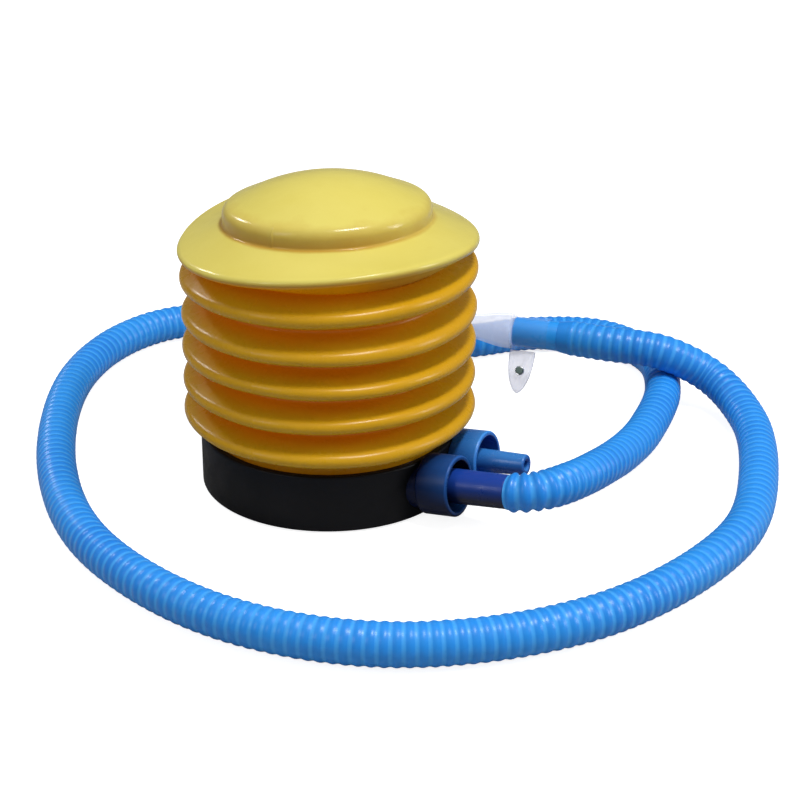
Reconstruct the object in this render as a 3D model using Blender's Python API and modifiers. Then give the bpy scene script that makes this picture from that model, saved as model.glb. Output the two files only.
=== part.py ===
"""Foot-operated ball inflation pump.

A black base cup carries a folded bellows with a round pedal on top.  Two blue
ports point along +X: the hose plugs on the outlet (y < 0), the intake (y > 0)
is a bare spigot.  The hose makes one loop round the pump and ends in a clear
tapered nozzle sleeve.

Units are metres; the constants and tables below are in millimetres.  +Z is up,
the origin is on the ground under the centre of the base.  Profiles are
(radius, height) points, turned round the piece's own Z axis.
"""
import math

import bmesh
import bpy
from mathutils import Matrix, Vector

MM = 0.001
FIT = 0.3                # clearance between mating pieces

# ---- base cup ---------------------------------------------------------------
BASE_R = 49.1            # outer radius of the cup wall
BASE_BOTTOM = 0.6        # lower edge of the wall above the ground
BASE_TOP = 22.7          # upper edge of the wall
BASE_STEPS = 40
POCKET_R = 46.2          # pocket that takes the bellows neck
DECK_TOP = 20.5
DECK_BOTTOM = 18.7
CHAMBER_R = 45.6         # air chamber under the deck
LEDGE_Z = 5.2            # ledge the gasket seals against
LEDGE_R = 47.1
SOCKET_TRIM_R = 47.4     # sockets end inside the cup wall
POST_RING_R = 36.0       # screw posts
POST_R = 3.6
POST_BOTTOM = 3.7
PILOT_R = 1.6
PILOT_TOP = 14.0
AIR_HOLE_RING_R = 33.0
AIR_HOLE_R = 3.5
AIR_HOLE_ANGLES = (75, 105, 165, 195, 255, 285)

# ---- base plate, gasket, feet, screws ---------------------------------------
PLATE_R = 46.6
PLATE_TOP = 3.4
CENTRE_PAD_R = 9.0       # flat pad under the plate that touches the ground
GASKET_R = 46.8
GASKET_BORE_R = 45.2
GASKET_TOP = 5.0
GASKET_BOTTOM = 3.6
FOOT_RING_R = 37.0
FOOT_R = 5.0
FOOT_H = 1.7
FOOT_CHAMFER = 0.5
SCREW_HEAD_R = 3.0
SCREW_HEAD_BOTTOM = 0.9
SCREW_HEAD_TOP = 2.1
SCREW_SHANK_R = 1.4
SCREW_TIP_Z = 12.5
SCREW_SLOT = (0.8, 3.2, 1.4)
COUNTERBORE_TOP = SCREW_HEAD_TOP + FIT

# ---- bellows ----------------------------------------------------------------
RIDGE_R = 55.0           # outer radius of the folds
RIDGE_SHOULDER_R = 53.3
RIDGE_HALF_H = 2.8       # shoulder above and below the ridge centre
RIDGE_BORE_R = 52.4
VALLEY_R = 45.0
VALLEY_BORE_R = VALLEY_R - 1.7
RIDGE_1_Z = 31.2         # centre of the lowest ridge
RIDGE_PITCH = 13.35
N_RIDGES = 5
BELLOWS_TOP = 90.9       # seam under the pedal flange
BELLOWS_BOTTOM = DECK_TOP + 0.3
BELLOWS_STEPS = 32
TOP_BORE_R = VALLEY_R - 1.5
NECK_R = 45.8
NECK_BORE_R = NECK_R - 1.8
NECK_LIP_R = 41.4        # inner edge of the lip that turns in at the neck's foot
NECK_LIP_TOP = 22.5

# ---- pedal ------------------------------------------------------------------
FLANGE_R = 55.5
FLANGE_Z = 97.5
DOME_R = 38.3
DOME_BASE_Z = 104.8
DOME_TOP_Z = 120.5
CROWN_R = 35.0
CROWN_H = 9.2
CROWN_WALL = 2.1
CROWN_STATIONS = (0, 10, 20, 30)    # radii of the crown's profile points

# ---- return spring ----------------------------------------------------------
SPRING_R = 24.0          # mean radius
SPRING_WIRE_R = 1.1
SPRING_TURNS = 7
SPRING_TURN_POINTS = 11
SPRING_LOW = 22.9
SPRING_HIGH = 103.0
SPRING_END_RISE = 2.5 * SPRING_WIRE_R    # rise of the dead turn at each end

# ---- ports: depths are measured behind the cup's rim ------------------------
PORT_Y = 12.1            # half the distance between the two ports
PORT_X = 61.3            # rim centre
PORT_Z = 14.8
PORT_TILT = 7.2          # degrees the axes rise
PORT_EDGE = 0.5          # chamfer on the rim and the spigot tip
CUP_R = 11.3
CUP_BORE_R = 9.6
CUP_DEPTH = 9.0
CUP_FLOOR_T = 2.0
CUP_BACK = 12.8          # length of the cup; a narrower neck goes on to the base wall
CUP_NECK_R = 9.6
CUP_NECK_BORE_R = CUP_NECK_R - 1.6
CUP_NECK_END = 23.0
SPIGOT_OUT = 16.0        # spigot tip beyond the rim
SPIGOT_TIP_R = 3.9
SPIGOT_ROOT_R = 4.7
PORT_BORE_R = 1.8
STEM_R = 5.6
STEM_START = 10.2
STEM_IN = 31.5           # inner end of the stem behind the rim
GROOVE_R = 4.6           # O-ring groove round the stem
GROOVE_START = 19.6
GROOVE_END = 21.2
O_RING_R = 5.22          # mean radius
O_RING_WIRE_R = 0.5
SOCKET_R = 7.6
SOCKET_START = 12.0
SOCKET_END = 29.5
SOCKET_BORE_R = 5.9

# ---- valves -----------------------------------------------------------------
VALVE_BORE_R = 4.4
VALVE_SHOULDER = 25.8
VALVE_RING_R = 4.2       # seat ring and cage ring
VALVE_RING_END = 31.6
SEAT_BORE_R = 2.2
SEAT_START = 28.5
DISC_R = 3.6
DISC_T = 1.0
DISC_CHAMFER = 0.2
DISC_GAP = 0.1           # between a disc and the face it closes on
STOP_SLOT = (1.6, 2 * VALVE_BORE_R - 0.6, 3.0)
CAGE_BORE_R = 3.0
CAGE_START = 30.2
CAGE_BAR = (1.1, 7.8, 2.3)
CAGE_BAR_DEPTH = 29.75   # middle of the bars

# ---- hose -------------------------------------------------------------------
HOSE_R = 7.5
HOSE_WALL = 1.9
REST_Z = HOSE_R + 0.1    # centre line where the hose rests on the ground
CUFF_R = 6.3
CUFF_BORE_R = 5.0
CUFF_START = 6.0         # pump-side cuff starts this far behind the port rim
CUFF_END = 19.9          # and ends this far beyond it
CUFF_CHAMFER = 0.3
HOSE_GAP = 0.3           # from the pump-side cuff to the hose
HOSE_LEAD_IN = 4.0       # straight run at the start of the hose
HOSE_LEAD_OUT = 6.0      # straight run at its end
SPAN_SAMPLES = 24        # fine samples between two waypoints
STATION_STEP = 22.0      # longest run between kept stations
STATION_MIN = 4.0        # shortest run between kept stations
STATION_TURN = 13.0      # degrees of turn that call for a station sooner
END_POINT = (44.0, 117.0, 24.3)     # where the hose meets its end cuff
END_HEADING = 190.0                 # degrees round Z that the free end points

# Loop of the hose on the ground: (x, y, height of the centre line)
HOSE_WAYPOINTS = (
    (92.6, -6.4, 18.5), (97.2, 8, 16.8), (99, 30, 13.0), (99.5, 55, 9.4),
    (98, 81, REST_Z), (90, 122, REST_Z), (72, 153, REST_Z), (44, 165, REST_Z),
    (15, 152, REST_Z), (-6, 130, REST_Z), (-34, 115, REST_Z), (-68, 109, REST_Z),
    (-104, 105, REST_Z), (-131, 87, REST_Z), (-140, 58, REST_Z), (-131, 12, REST_Z),
    (-85, -60, REST_Z), (-34, -103, REST_Z), (30, -121, REST_Z), (88, -108, REST_Z),
    (137, -61, REST_Z), (159, 10, REST_Z), (149, 68, REST_Z), (127, 116, 8.0),
    (107, 131, 14.0), (88, 124, 23.3), (64, 118.5, 24.6),
)

# ---- end cuff, nozzle sleeve, tab -------------------------------------------
END_CUFF_LEN = 19.2
SLEEVE_START = 4.0
SLEEVE_END = SLEEVE_START + 46.0
TAB_LEN = 18.2
TAB_W = 11.0
TAB_T = 2.2
TAB_SIDE_POINTS = 10
TAB_HOLE_R = 1.9
TAB_HOLE_POINTS = 12
TAB_HOLE = 8.6           # plug centre below the tab's hinge edge
TAB_DROOP = 60.0         # degrees the tab hangs below the horizontal
TAB_STATION = 14.4       # middle of the tab along the sleeve, from END_POINT
TAB_OFFSET = 8.0         # hinge edge from the sleeve's axis

# ---- start clean ------------------------------------------------------------
for old in list(bpy.data.objects):
    bpy.data.objects.remove(old, do_unlink=True)

parts = bpy.data.collections.new("ball_inflation_pump")
cutters = bpy.data.collections.new("cutters")
bpy.context.scene.collection.children.link(parts)
bpy.context.scene.collection.children.link(cutters)


# ---- materials --------------------------------------------------------------
def material(name, color, roughness, metallic=0.0, alpha=1.0):
    mat = bpy.data.materials.new(name)
    mat.use_nodes = True
    shader = mat.node_tree.nodes["Principled BSDF"]
    shader.inputs["Base Color"].default_value = (*color, 1.0)
    shader.inputs["Roughness"].default_value = roughness
    shader.inputs["Metallic"].default_value = metallic
    shader.inputs["Alpha"].default_value = alpha
    mat.diffuse_color = (*color, alpha)
    return mat


BLACK = material("black_plastic", color=(0.012, 0.012, 0.014), roughness=0.45)
YELLOW = material("yellow_plastic", color=(0.62, 0.40, 0.035), roughness=0.32)
YELLOW_TOP = material("yellow_pedal", color=(0.74, 0.58, 0.13), roughness=0.28)
NAVY = material("blue_port", color=(0.010, 0.060, 0.28), roughness=0.3)
VIOLET = material("cuff_blue", color=(0.018, 0.045, 0.36), roughness=0.35)
AZURE = material("hose_blue", color=(0.015, 0.18, 0.74), roughness=0.35)
CLEAR = material("clear_plastic", color=(0.72, 0.76, 0.86), roughness=0.2, alpha=0.55)
RUBBER = material("black_rubber", color=(0.02, 0.02, 0.02), roughness=0.8)
GREY_GREEN = material("plug_rubber", color=(0.05, 0.09, 0.07), roughness=0.6)
STEEL = material("steel", color=(0.55, 0.55, 0.57), roughness=0.3, metallic=1.0)
WHITE = material("natural_plastic", color=(0.62, 0.62, 0.60), roughness=0.5)


# ---- shape helpers ----------------------------------------------------------
def add(name, data, mat=None, loc=(0, 0, 0), rot=(0, 0, 0)):
    """Link a piece; without a material it is a hidden boolean helper."""
    ob = bpy.data.objects.new(name, data)
    ob.location = Vector(loc) * MM
    ob.rotation_euler = rot
    if mat is None:
        ob.hide_render = True
        ob.display_type = "WIRE"
        cutters.objects.link(ob)
    else:
        if not data.materials:
            data.materials.append(mat)
        parts.objects.link(ob)
    return ob


def turned(name, profile, steps, mat=None, closed=False, **place):
    """Profile turned round the object's own Z axis."""
    mesh = bpy.data.meshes.new(name)
    count = len(profile)
    edges = [(i, i + 1) for i in range(count - 1)]
    if closed:
        edges.append((count - 1, 0))
    mesh.from_pydata([(r * MM, 0.0, z * MM) for r, z in profile], edges, [])
    ob = add(name, mesh, mat, **place)
    screw = ob.modifiers.new("turn", "SCREW")
    screw.axis = "Z"
    screw.angle = 2 * math.pi
    screw.steps = steps
    screw.render_steps = steps
    screw.use_merge_vertices = True
    screw.merge_threshold = 0.00001
    screw.use_smooth_shade = True
    return ob


def rod(name, radius, bottom, top, steps, **options):
    profile = [(0, top), (radius, top), (radius, bottom), (0, bottom)]
    return turned(name, profile, steps, **options)


def ring(name, bore, radius, bottom, top, steps, **options):
    profile = [(radius, top), (radius, bottom), (bore, bottom), (bore, top)]
    return turned(name, profile, steps, closed=True, **options)


def block(name, size, **place):
    """Boolean helper: box of the given size about its own centre."""
    mesh = bpy.data.meshes.new(name)
    bm = bmesh.new()
    bmesh.ops.create_cube(bm, size=1.0)
    bmesh.ops.scale(bm, vec=Vector(size) * MM, verts=bm.verts)
    bm.to_mesh(mesh)
    bm.free()
    return add(name, mesh, **place)


def boolean(ob, other, operation):
    mod = ob.modifiers.new(operation.lower(), "BOOLEAN")
    mod.operation = operation
    mod.solver = "EXACT"
    mod.object = other


def wire(name, points, radius, mat, resolution, caps=True, loc=(0, 0, 0)):
    """Round bar along the points, with its origin at loc."""
    curve = bpy.data.curves.new(name, "CURVE")
    curve.dimensions = "3D"
    curve.bevel_depth = radius * MM
    curve.bevel_resolution = resolution
    curve.use_fill_caps = caps
    spline = curve.splines.new("POLY")
    spline.points.add(len(points) - 1)
    for point, co in zip(spline.points, points):
        point.co = (*(Vector(co) - Vector(loc)) * MM, 1.0)
    spline.use_smooth = True
    return add(name, curve, mat, loc)


def to_mesh(curve_ob, name):
    """Mesh of a curve object, which is removed."""
    bpy.context.view_layer.update()
    depsgraph = bpy.context.evaluated_depsgraph_get()
    mesh = bpy.data.meshes.new_from_object(curve_ob.evaluated_get(depsgraph))
    bpy.data.objects.remove(curve_ob, do_unlink=True)
    mesh.name = name
    return mesh


def polar(radius, degrees):
    angle = math.radians(degrees)
    return radius * math.cos(angle), radius * math.sin(angle)


def spots(radius, angles):
    """Ground points on a circle round the base centre."""
    return [(*polar(radius, angle), 0) for angle in angles]


POSTS = spots(POST_RING_R, (45, 135, 225, 315))
FEET = spots(FOOT_RING_R, (0, 90, 180, 270))
AIR_HOLES = spots(AIR_HOLE_RING_R, AIR_HOLE_ANGLES)

# Local +Z of a port piece is the port's own axis, and local 0 is the cup's rim.
PORT_ROT = (0.0, math.radians(90.0 - PORT_TILT), 0.0)
PORT_AXIS = Vector((math.cos(math.radians(PORT_TILT)), 0.0, math.sin(math.radians(PORT_TILT))))
PORT_LOC = {"outlet": (PORT_X, -PORT_Y, PORT_Z), "intake": (PORT_X, PORT_Y, PORT_Z)}


def at_port(label):
    return {"loc": PORT_LOC[label], "rot": PORT_ROT}


# ---- base -------------------------------------------------------------------
def build_base_cup():
    cup = turned("base_cup", [
        (0, DECK_TOP), (POCKET_R, DECK_TOP), (POCKET_R, BASE_TOP), (BASE_R - 0.7, BASE_TOP),
        (BASE_R, BASE_TOP - 0.7), (BASE_R, BASE_BOTTOM + 2.0),
        (BASE_R - 0.6, BASE_BOTTOM + 0.6), (BASE_R - 1.8, BASE_BOTTOM),
        (LEDGE_R, BASE_BOTTOM), (LEDGE_R, LEDGE_Z), (CHAMBER_R, LEDGE_Z),
        (CHAMBER_R, DECK_BOTTOM), (0, DECK_BOTTOM)], BASE_STEPS, BLACK)

    for label in PORT_LOC:
        socket = rod(f"cut_{label}_socket", SOCKET_R, -SOCKET_END, -SOCKET_START, steps=20,
                     **at_port(label))
        trim = rod(f"cut_{label}_socket_trim", SOCKET_TRIM_R, LEDGE_Z + 0.4, DECK_TOP - 0.3,
                   BASE_STEPS)
        boolean(socket, trim, "INTERSECT")
        boolean(cup, socket, "UNION")
    for i, spot in enumerate(POSTS, 1):
        post = rod(f"cut_post_{i}", POST_R, POST_BOTTOM, DECK_BOTTOM + 0.9, steps=14, loc=spot)
        boolean(cup, post, "UNION")
    for label in PORT_LOC:
        bore = rod(f"cut_{label}_socket_bore", SOCKET_BORE_R, -40.0, 5.0, steps=20,
                   **at_port(label))
        boolean(cup, bore, "DIFFERENCE")
    for i, spot in enumerate(POSTS, 1):
        pilot = rod(f"cut_pilot_{i}", PILOT_R, 0.0, PILOT_TOP, steps=10, loc=spot)
        boolean(cup, pilot, "DIFFERENCE")
    for i, spot in enumerate(AIR_HOLES, 1):
        hole = rod(f"cut_air_hole_{i}", AIR_HOLE_R, DECK_BOTTOM - 2, DECK_TOP + 2, steps=12,
                   loc=spot)
        boolean(cup, hole, "DIFFERENCE")


def build_base_plate():
    plate = turned("base_plate", [
        (0, PLATE_TOP), (PLATE_R - 0.3, PLATE_TOP), (PLATE_R, PLATE_TOP - 0.3),
        (PLATE_R, BASE_BOTTOM + 0.4), (PLATE_R - 0.4, BASE_BOTTOM),
        (CENTRE_PAD_R + 0.8, BASE_BOTTOM), (CENTRE_PAD_R, 0), (0, 0)], BASE_STEPS, BLACK)
    shank_r = SCREW_SHANK_R + FIT
    head_r = SCREW_HEAD_R + FIT
    for i, (foot, post) in enumerate(zip(FEET, POSTS), 1):
        recess = rod(f"cut_foot_recess_{i}", FOOT_R + FIT, -1.0, FOOT_H + 0.2, steps=16,
                     loc=foot)
        boolean(plate, recess, "DIFFERENCE")
        hole = turned(f"cut_plate_screw_{i}", [
            (0, 5.0), (shank_r, 5.0), (shank_r, COUNTERBORE_TOP), (head_r, COUNTERBORE_TOP),
            (head_r, -1.0), (0, -1.0)], steps=14, loc=post)
        boolean(plate, hole, "DIFFERENCE")

    ring("base_gasket", GASKET_BORE_R, GASKET_R, GASKET_BOTTOM, GASKET_TOP, BASE_STEPS,
         mat=RUBBER)


def build_feet():
    for i, spot in enumerate(FEET, 1):
        turned(f"foot_pad_{i}", [
            (0, FOOT_H), (FOOT_R, FOOT_H), (FOOT_R, FOOT_CHAMFER), (FOOT_R - FOOT_CHAMFER, 0),
            (0, 0)], steps=16, mat=RUBBER, loc=spot)


def build_screws():
    """Cross-slotted screws, heads down; each is turned 45 degrees from the last."""
    for i, (x, y, _) in enumerate(POSTS):
        screw = turned(f"base_screw_{i + 1}", [
            (0, SCREW_TIP_Z), (0.5, SCREW_TIP_Z), (SCREW_SHANK_R, SCREW_TIP_Z - 1.6),
            (SCREW_SHANK_R, SCREW_HEAD_TOP), (SCREW_HEAD_R, SCREW_HEAD_TOP),
            (SCREW_HEAD_R, SCREW_HEAD_BOTTOM + 0.6), (SCREW_HEAD_R - 0.6, SCREW_HEAD_BOTTOM),
            (0, SCREW_HEAD_BOTTOM)], steps=12, mat=STEEL, loc=(x, y, 0))
        for k in range(2):
            slot = block(f"cut_screw_slot_{i + 1}_{k + 1}", SCREW_SLOT,
                         loc=(x, y, SCREW_HEAD_BOTTOM),
                         rot=(0, 0, math.radians(90 * k + 45 * i)))
            boolean(screw, slot, "DIFFERENCE")


# ---- bellows, pedal, spring -------------------------------------------------
def build_bellows():
    outer = [(VALLEY_R, BELLOWS_TOP)]
    inner = [(TOP_BORE_R, BELLOWS_TOP)]
    for k in reversed(range(N_RIDGES)):
        z = RIDGE_1_Z + k * RIDGE_PITCH
        outer += [(RIDGE_SHOULDER_R, z + RIDGE_HALF_H), (RIDGE_R, z),
                  (RIDGE_SHOULDER_R, z - RIDGE_HALF_H)]
        inner.append((RIDGE_BORE_R, z))
        if k:
            valley_z = z - RIDGE_PITCH / 2
            outer.append((VALLEY_R, valley_z))
            inner.append((VALLEY_BORE_R, valley_z))
    outer += [(NECK_R, 24.4), (NECK_R, BELLOWS_BOTTOM)]
    inner += [(NECK_BORE_R, 24.6), (NECK_BORE_R, NECK_LIP_TOP), (NECK_LIP_R, NECK_LIP_TOP),
              (NECK_LIP_R, BELLOWS_BOTTOM)]
    turned("bellows", outer + inner[::-1], BELLOWS_STEPS, YELLOW, closed=True)

    turned("bellows_clamp_ring", [
        (43.5, 24.6), (43.5, 22.8), (40.6, 22.8), (40.6, DECK_TOP + 0.4),
        (38.6, DECK_TOP + 0.4), (38.6, 24.6)], BELLOWS_STEPS, WHITE, closed=True)


def build_pedal():
    """Crowned dome, round rim and sloping flange, then back along the inside."""
    crown = [(r, DOME_TOP_Z - CROWN_H * (r / CROWN_R) ** 2) for r in CROWN_STATIONS]
    crown_inside = [(r, z - CROWN_WALL) for r, z in crown]
    seam_z = BELLOWS_TOP + 0.3
    outside = [
        (34.6, 111.3), (36.6, 110.0), (37.8, 108.2), (DOME_R, 106.2),
        (DOME_R, DOME_BASE_Z + 0.6), (39.0, DOME_BASE_Z - 0.1), (41.5, DOME_BASE_Z - 1.0),
        (52.6, FLANGE_Z + 2.1), (54.8, FLANGE_Z + 1.3), (FLANGE_R, FLANGE_Z),
        (54.9, FLANGE_Z - 1.4), (52.8, FLANGE_Z - 2.3), (VALLEY_R, seam_z)]
    inside = [
        (TOP_BORE_R, seam_z), (TOP_BORE_R, 92.2), (51.4, FLANGE_Z - 1.1),
        (51.4, FLANGE_Z + 0.2), (40.5, 100.7), (36.3, 102.4), (36.3, 107.0), (33.6, 109.4)]
    turned("pedal_top", crown + outside + inside + crown_inside[::-1], BELLOWS_STEPS,
           YELLOW_TOP)


def build_spring():
    """Spring with one dead turn at each end, and the two seats that hold it."""
    turned("spring_seat_upper", [
        (35.9, 105.2), (35.9, 103.9), (34.6, 103.2), (21.2, 103.2), (21.2, 98.0),
        (18.8, 98.0), (18.8, 103.2), (9.0, 103.2), (9.0, 105.2)],
        steps=24, mat=WHITE, closed=True)
    turned("spring_seat_lower", [
        (28.2, 25.0), (28.2, 20.8), (14.0, 20.8), (14.0, 22.6), (18.8, 22.6), (18.8, 28.0),
        (21.2, 28.0), (21.2, 22.6), (26.4, 22.6), (26.4, 25.0)],
        steps=24, mat=WHITE, closed=True)

    low = SPRING_LOW + SPRING_WIRE_R
    high = SPRING_HIGH - SPRING_WIRE_R
    live_rise = high - low - 2 * SPRING_END_RISE
    points = []
    for i in range(SPRING_TURNS * SPRING_TURN_POINTS + 1):
        turn = i / SPRING_TURN_POINTS
        if turn <= 1:
            z = low + SPRING_END_RISE * turn
        elif turn >= SPRING_TURNS - 1:
            z = high - SPRING_END_RISE * (SPRING_TURNS - turn)
        else:
            z = low + SPRING_END_RISE + live_rise * (turn - 1) / (SPRING_TURNS - 2)
        points.append((*polar(SPRING_R, 360 * turn), z))
    wire("return_spring", points, SPRING_WIRE_R, STEEL, resolution=1)


# ---- ports and valves -------------------------------------------------------
def build_port(label):
    """Cup with a central spigot, and a stem that reaches into the base socket."""
    port = turned(f"{label}_port", [
        (0, SPIGOT_OUT), (SPIGOT_TIP_R - PORT_EDGE, SPIGOT_OUT),
        (SPIGOT_TIP_R, SPIGOT_OUT - PORT_EDGE), (SPIGOT_ROOT_R, -CUP_DEPTH),
        (CUP_BORE_R, -CUP_DEPTH), (CUP_BORE_R, -PORT_EDGE), (CUP_BORE_R + PORT_EDGE, 0),
        (CUP_R - PORT_EDGE, 0), (CUP_R, -PORT_EDGE), (CUP_R, 1.5 - CUP_BACK),
        (CUP_R - 0.8, -CUP_BACK), (CUP_NECK_R, -CUP_BACK), (CUP_NECK_R, -CUP_NECK_END),
        (CUP_NECK_BORE_R, -CUP_NECK_END), (CUP_NECK_BORE_R, -CUP_DEPTH - CUP_FLOOR_T),
        (0, -CUP_DEPTH - CUP_FLOOR_T)], steps=24, mat=NAVY, **at_port(label))
    shell = rod(f"cut_{label}_base_clearance", BASE_R + FIT, -20.0, 40.0, BASE_STEPS)
    boolean(port, shell, "DIFFERENCE")
    stem = turned(f"cut_{label}_stem", [
        (0, -STEM_START), (STEM_R, -STEM_START), (STEM_R, -GROOVE_START),
        (GROOVE_R, -GROOVE_START), (GROOVE_R, -GROOVE_END), (STEM_R, -GROOVE_END),
        (STEM_R, -29.8), (STEM_R + 0.7, -30.0), (STEM_R + 0.1, -STEM_IN), (0, -STEM_IN)],
        steps=20, **at_port(label))
    boolean(port, stem, "UNION")
    bore = turned(f"cut_{label}_bore", [
        (0, 20.0), (PORT_BORE_R, 20.0), (PORT_BORE_R, -VALVE_SHOULDER),
        (VALVE_BORE_R, -VALVE_SHOULDER), (VALVE_BORE_R, -36.0), (0, -36.0)],
        steps=16, **at_port(label))
    boolean(port, bore, "DIFFERENCE")

    groove_mid = (GROOVE_START + GROOVE_END) / 2
    section = [polar(O_RING_WIRE_R, 60 * k) for k in range(6)]
    turned(f"{label}_o_ring", [(O_RING_R + r, -groove_mid - z) for r, z in section],
           steps=20, mat=RUBBER, closed=True, **at_port(label))
    return port


def cross(target, name, size, label, depth, operation):
    """Two blocks crossed at right angles, centred on a port's axis."""
    tilt = Matrix.Rotation(PORT_ROT[1], 3, "Y")
    for k in range(2):
        spin = Matrix.Rotation(math.radians(90 * k), 3, "Z")
        bar = block(f"{name}_{k + 1}", size, loc=Vector(PORT_LOC[label]) - PORT_AXIS * depth,
                    rot=(tilt @ spin).to_euler())
        boolean(target, bar, operation)


def build_valve_disc(label, depth):
    """Disc whose face towards the port's rim lies at the given depth."""
    chamfer_r = DISC_R - DISC_CHAMFER
    back = depth + DISC_T
    turned(f"{label}_valve_disc", [
        (0, -depth), (chamfer_r, -depth), (DISC_R, -depth - DISC_CHAMFER),
        (DISC_R, -back + DISC_CHAMFER), (chamfer_r, -back), (0, -back)],
        steps=16, mat=RUBBER, **at_port(label))


def build_outlet():
    """The disc closes on a seat ring at the inner end and lifts outwards."""
    port = build_port("outlet")
    cross(port, "cut_outlet_stop", STOP_SLOT, "outlet", VALVE_SHOULDER, "DIFFERENCE")
    ring("outlet_valve_seat", SEAT_BORE_R, VALVE_RING_R, -VALVE_RING_END, -SEAT_START,
         steps=20, mat=WHITE, **at_port("outlet"))
    build_valve_disc("outlet", SEAT_START - DISC_GAP - DISC_T)


def build_intake():
    """The disc closes on the shoulder in the port and lifts inwards to the cage."""
    build_port("intake")
    build_valve_disc("intake", VALVE_SHOULDER + DISC_GAP)
    cage = ring("intake_valve_cage", CAGE_BORE_R, VALVE_RING_R, -VALVE_RING_END, -CAGE_START,
                steps=16, mat=WHITE, **at_port("intake"))
    cross(cage, "cut_cage_bar", CAGE_BAR, "intake", CAGE_BAR_DEPTH, "UNION")


# ---- hose -------------------------------------------------------------------
END_DIR = Vector((*polar(1.0, END_HEADING), 0.0))


def blend(a, b, time_a, time_b, time):
    span = time_b - time_a
    return a * ((time_b - time) / span) + b * ((time - time_a) / span)


def fine_path(points):
    """Centripetal cubic path through all the points but the first and last."""
    path = []
    for i in range(1, len(points) - 2):
        p0, p1, p2, p3 = points[i - 1:i + 3]
        t0 = 0.0
        t1 = t0 + (p1 - p0).length ** 0.5
        t2 = t1 + (p2 - p1).length ** 0.5
        t3 = t2 + (p3 - p2).length ** 0.5
        for k in range(SPAN_SAMPLES):
            t = t1 + (t2 - t1) * k / SPAN_SAMPLES
            middle = blend(p1, p2, t1, t2, t)
            before = blend(blend(p0, p1, t0, t1, t), middle, t0, t2, t)
            after = blend(middle, blend(p2, p3, t2, t3, t), t1, t3, t)
            path.append(blend(before, after, t1, t2, t))
    path.append(points[-2])
    for point in path:
        point.z = max(point.z, REST_Z)
    return path


def thin_out(path):
    """Keep a station after every step of length, or sooner where the path turns."""
    kept, last = [path[0]], 0
    for i in range(1, len(path) - 1):
        run = (path[i] - kept[-1]).length
        turn = (path[last + 1] - path[last]).angle(path[i + 1] - path[i])
        turned_enough = run >= STATION_MIN and turn >= math.radians(STATION_TURN)
        if run >= STATION_STEP or turned_enough:
            kept.append(path[i])
            last = i
    if (path[-1] - kept[-1]).length < STATION_MIN:
        kept.pop()
    kept.append(path[-1])
    return kept


def build_hose():
    turned("hose_cuff", [
        (CUFF_R - CUFF_CHAMFER, CUFF_END), (CUFF_R, CUFF_END - CUFF_CHAMFER),
        (CUFF_R, CUFF_CHAMFER - CUFF_START), (CUFF_R - CUFF_CHAMFER, -CUFF_START),
        (CUFF_BORE_R, -CUFF_START), (CUFF_BORE_R, CUFF_END)],
        steps=20, mat=VIOLET, closed=True, **at_port("outlet"))

    origin = PORT_LOC["outlet"]
    start = Vector(origin) + PORT_AXIS * (CUFF_END + HOSE_GAP)
    stop = Vector(END_POINT)
    points = [start, start + PORT_AXIS * HOSE_LEAD_IN, *map(Vector, HOSE_WAYPOINTS),
              stop - END_DIR * HOSE_LEAD_OUT, stop]
    stations = [start, *thin_out(fine_path(points)), stop]
    tube = wire("hose_path", stations, HOSE_R, AZURE, resolution=2, caps=False, loc=origin)
    hose = add("hose", to_mesh(tube, "hose"), AZURE, origin)
    wall = hose.modifiers.new("wall", "SOLIDIFY")
    wall.thickness = HOSE_WALL * MM
    wall.offset = -1.0
    wall.use_even_offset = True


def build_nozzle():
    """End cuff and sleeve; local +Z runs along the free end, away from the hose."""
    heading = Matrix.Rotation(math.radians(END_HEADING), 3, "Z")
    rot = (heading @ Matrix.Rotation(math.radians(90.0), 3, "Y")).to_euler()
    turned("hose_end_cuff", [
        (6.0, END_CUFF_LEN), (6.1, END_CUFF_LEN - 0.2), (6.1, 0.6), (5.9, 0.3), (5.0, 0.3),
        (5.0, END_CUFF_LEN)], steps=20, mat=AZURE, closed=True, loc=END_POINT, rot=rot)
    turned("nozzle_sleeve", [
        (2.4, SLEEVE_END), (3.3, SLEEVE_END), (3.6, SLEEVE_END - 0.4), (5.4, 36.0),
        (7.2, 27.0), (7.6, 22.5), (7.3, 14.0), (7.1, SLEEVE_START + 0.2),
        (6.9, SLEEVE_START), (6.4, SLEEVE_START), (6.4, 21.6), (6.1, 26.0), (4.3, 36.0)],
        steps=20, mat=CLEAR, closed=True, loc=END_POINT, rot=rot)


# ---- tab that hangs from the sleeve -----------------------------------------
def tab_outline():
    """Straight hinge edge at y = 0, sides that close to a rounded tip at -TAB_LEN."""
    side = []
    for i in range(TAB_SIDE_POINTS + 1):
        u = math.sin(math.pi / 2 * i / TAB_SIDE_POINTS)
        side.append((TAB_W / 2 * (1.0 - u ** 2.4) ** 0.62, -TAB_LEN * u))
    return side + [(-x, y) for x, y in side[-2::-1]]


def add_loop(curve, points):
    spline = curve.splines.new("POLY")
    spline.points.add(len(points) - 1)
    for point, (x, y) in zip(spline.points, points):
        point.co = (x * MM, y * MM, 0, 1)
    spline.use_cyclic_u = True


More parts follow.
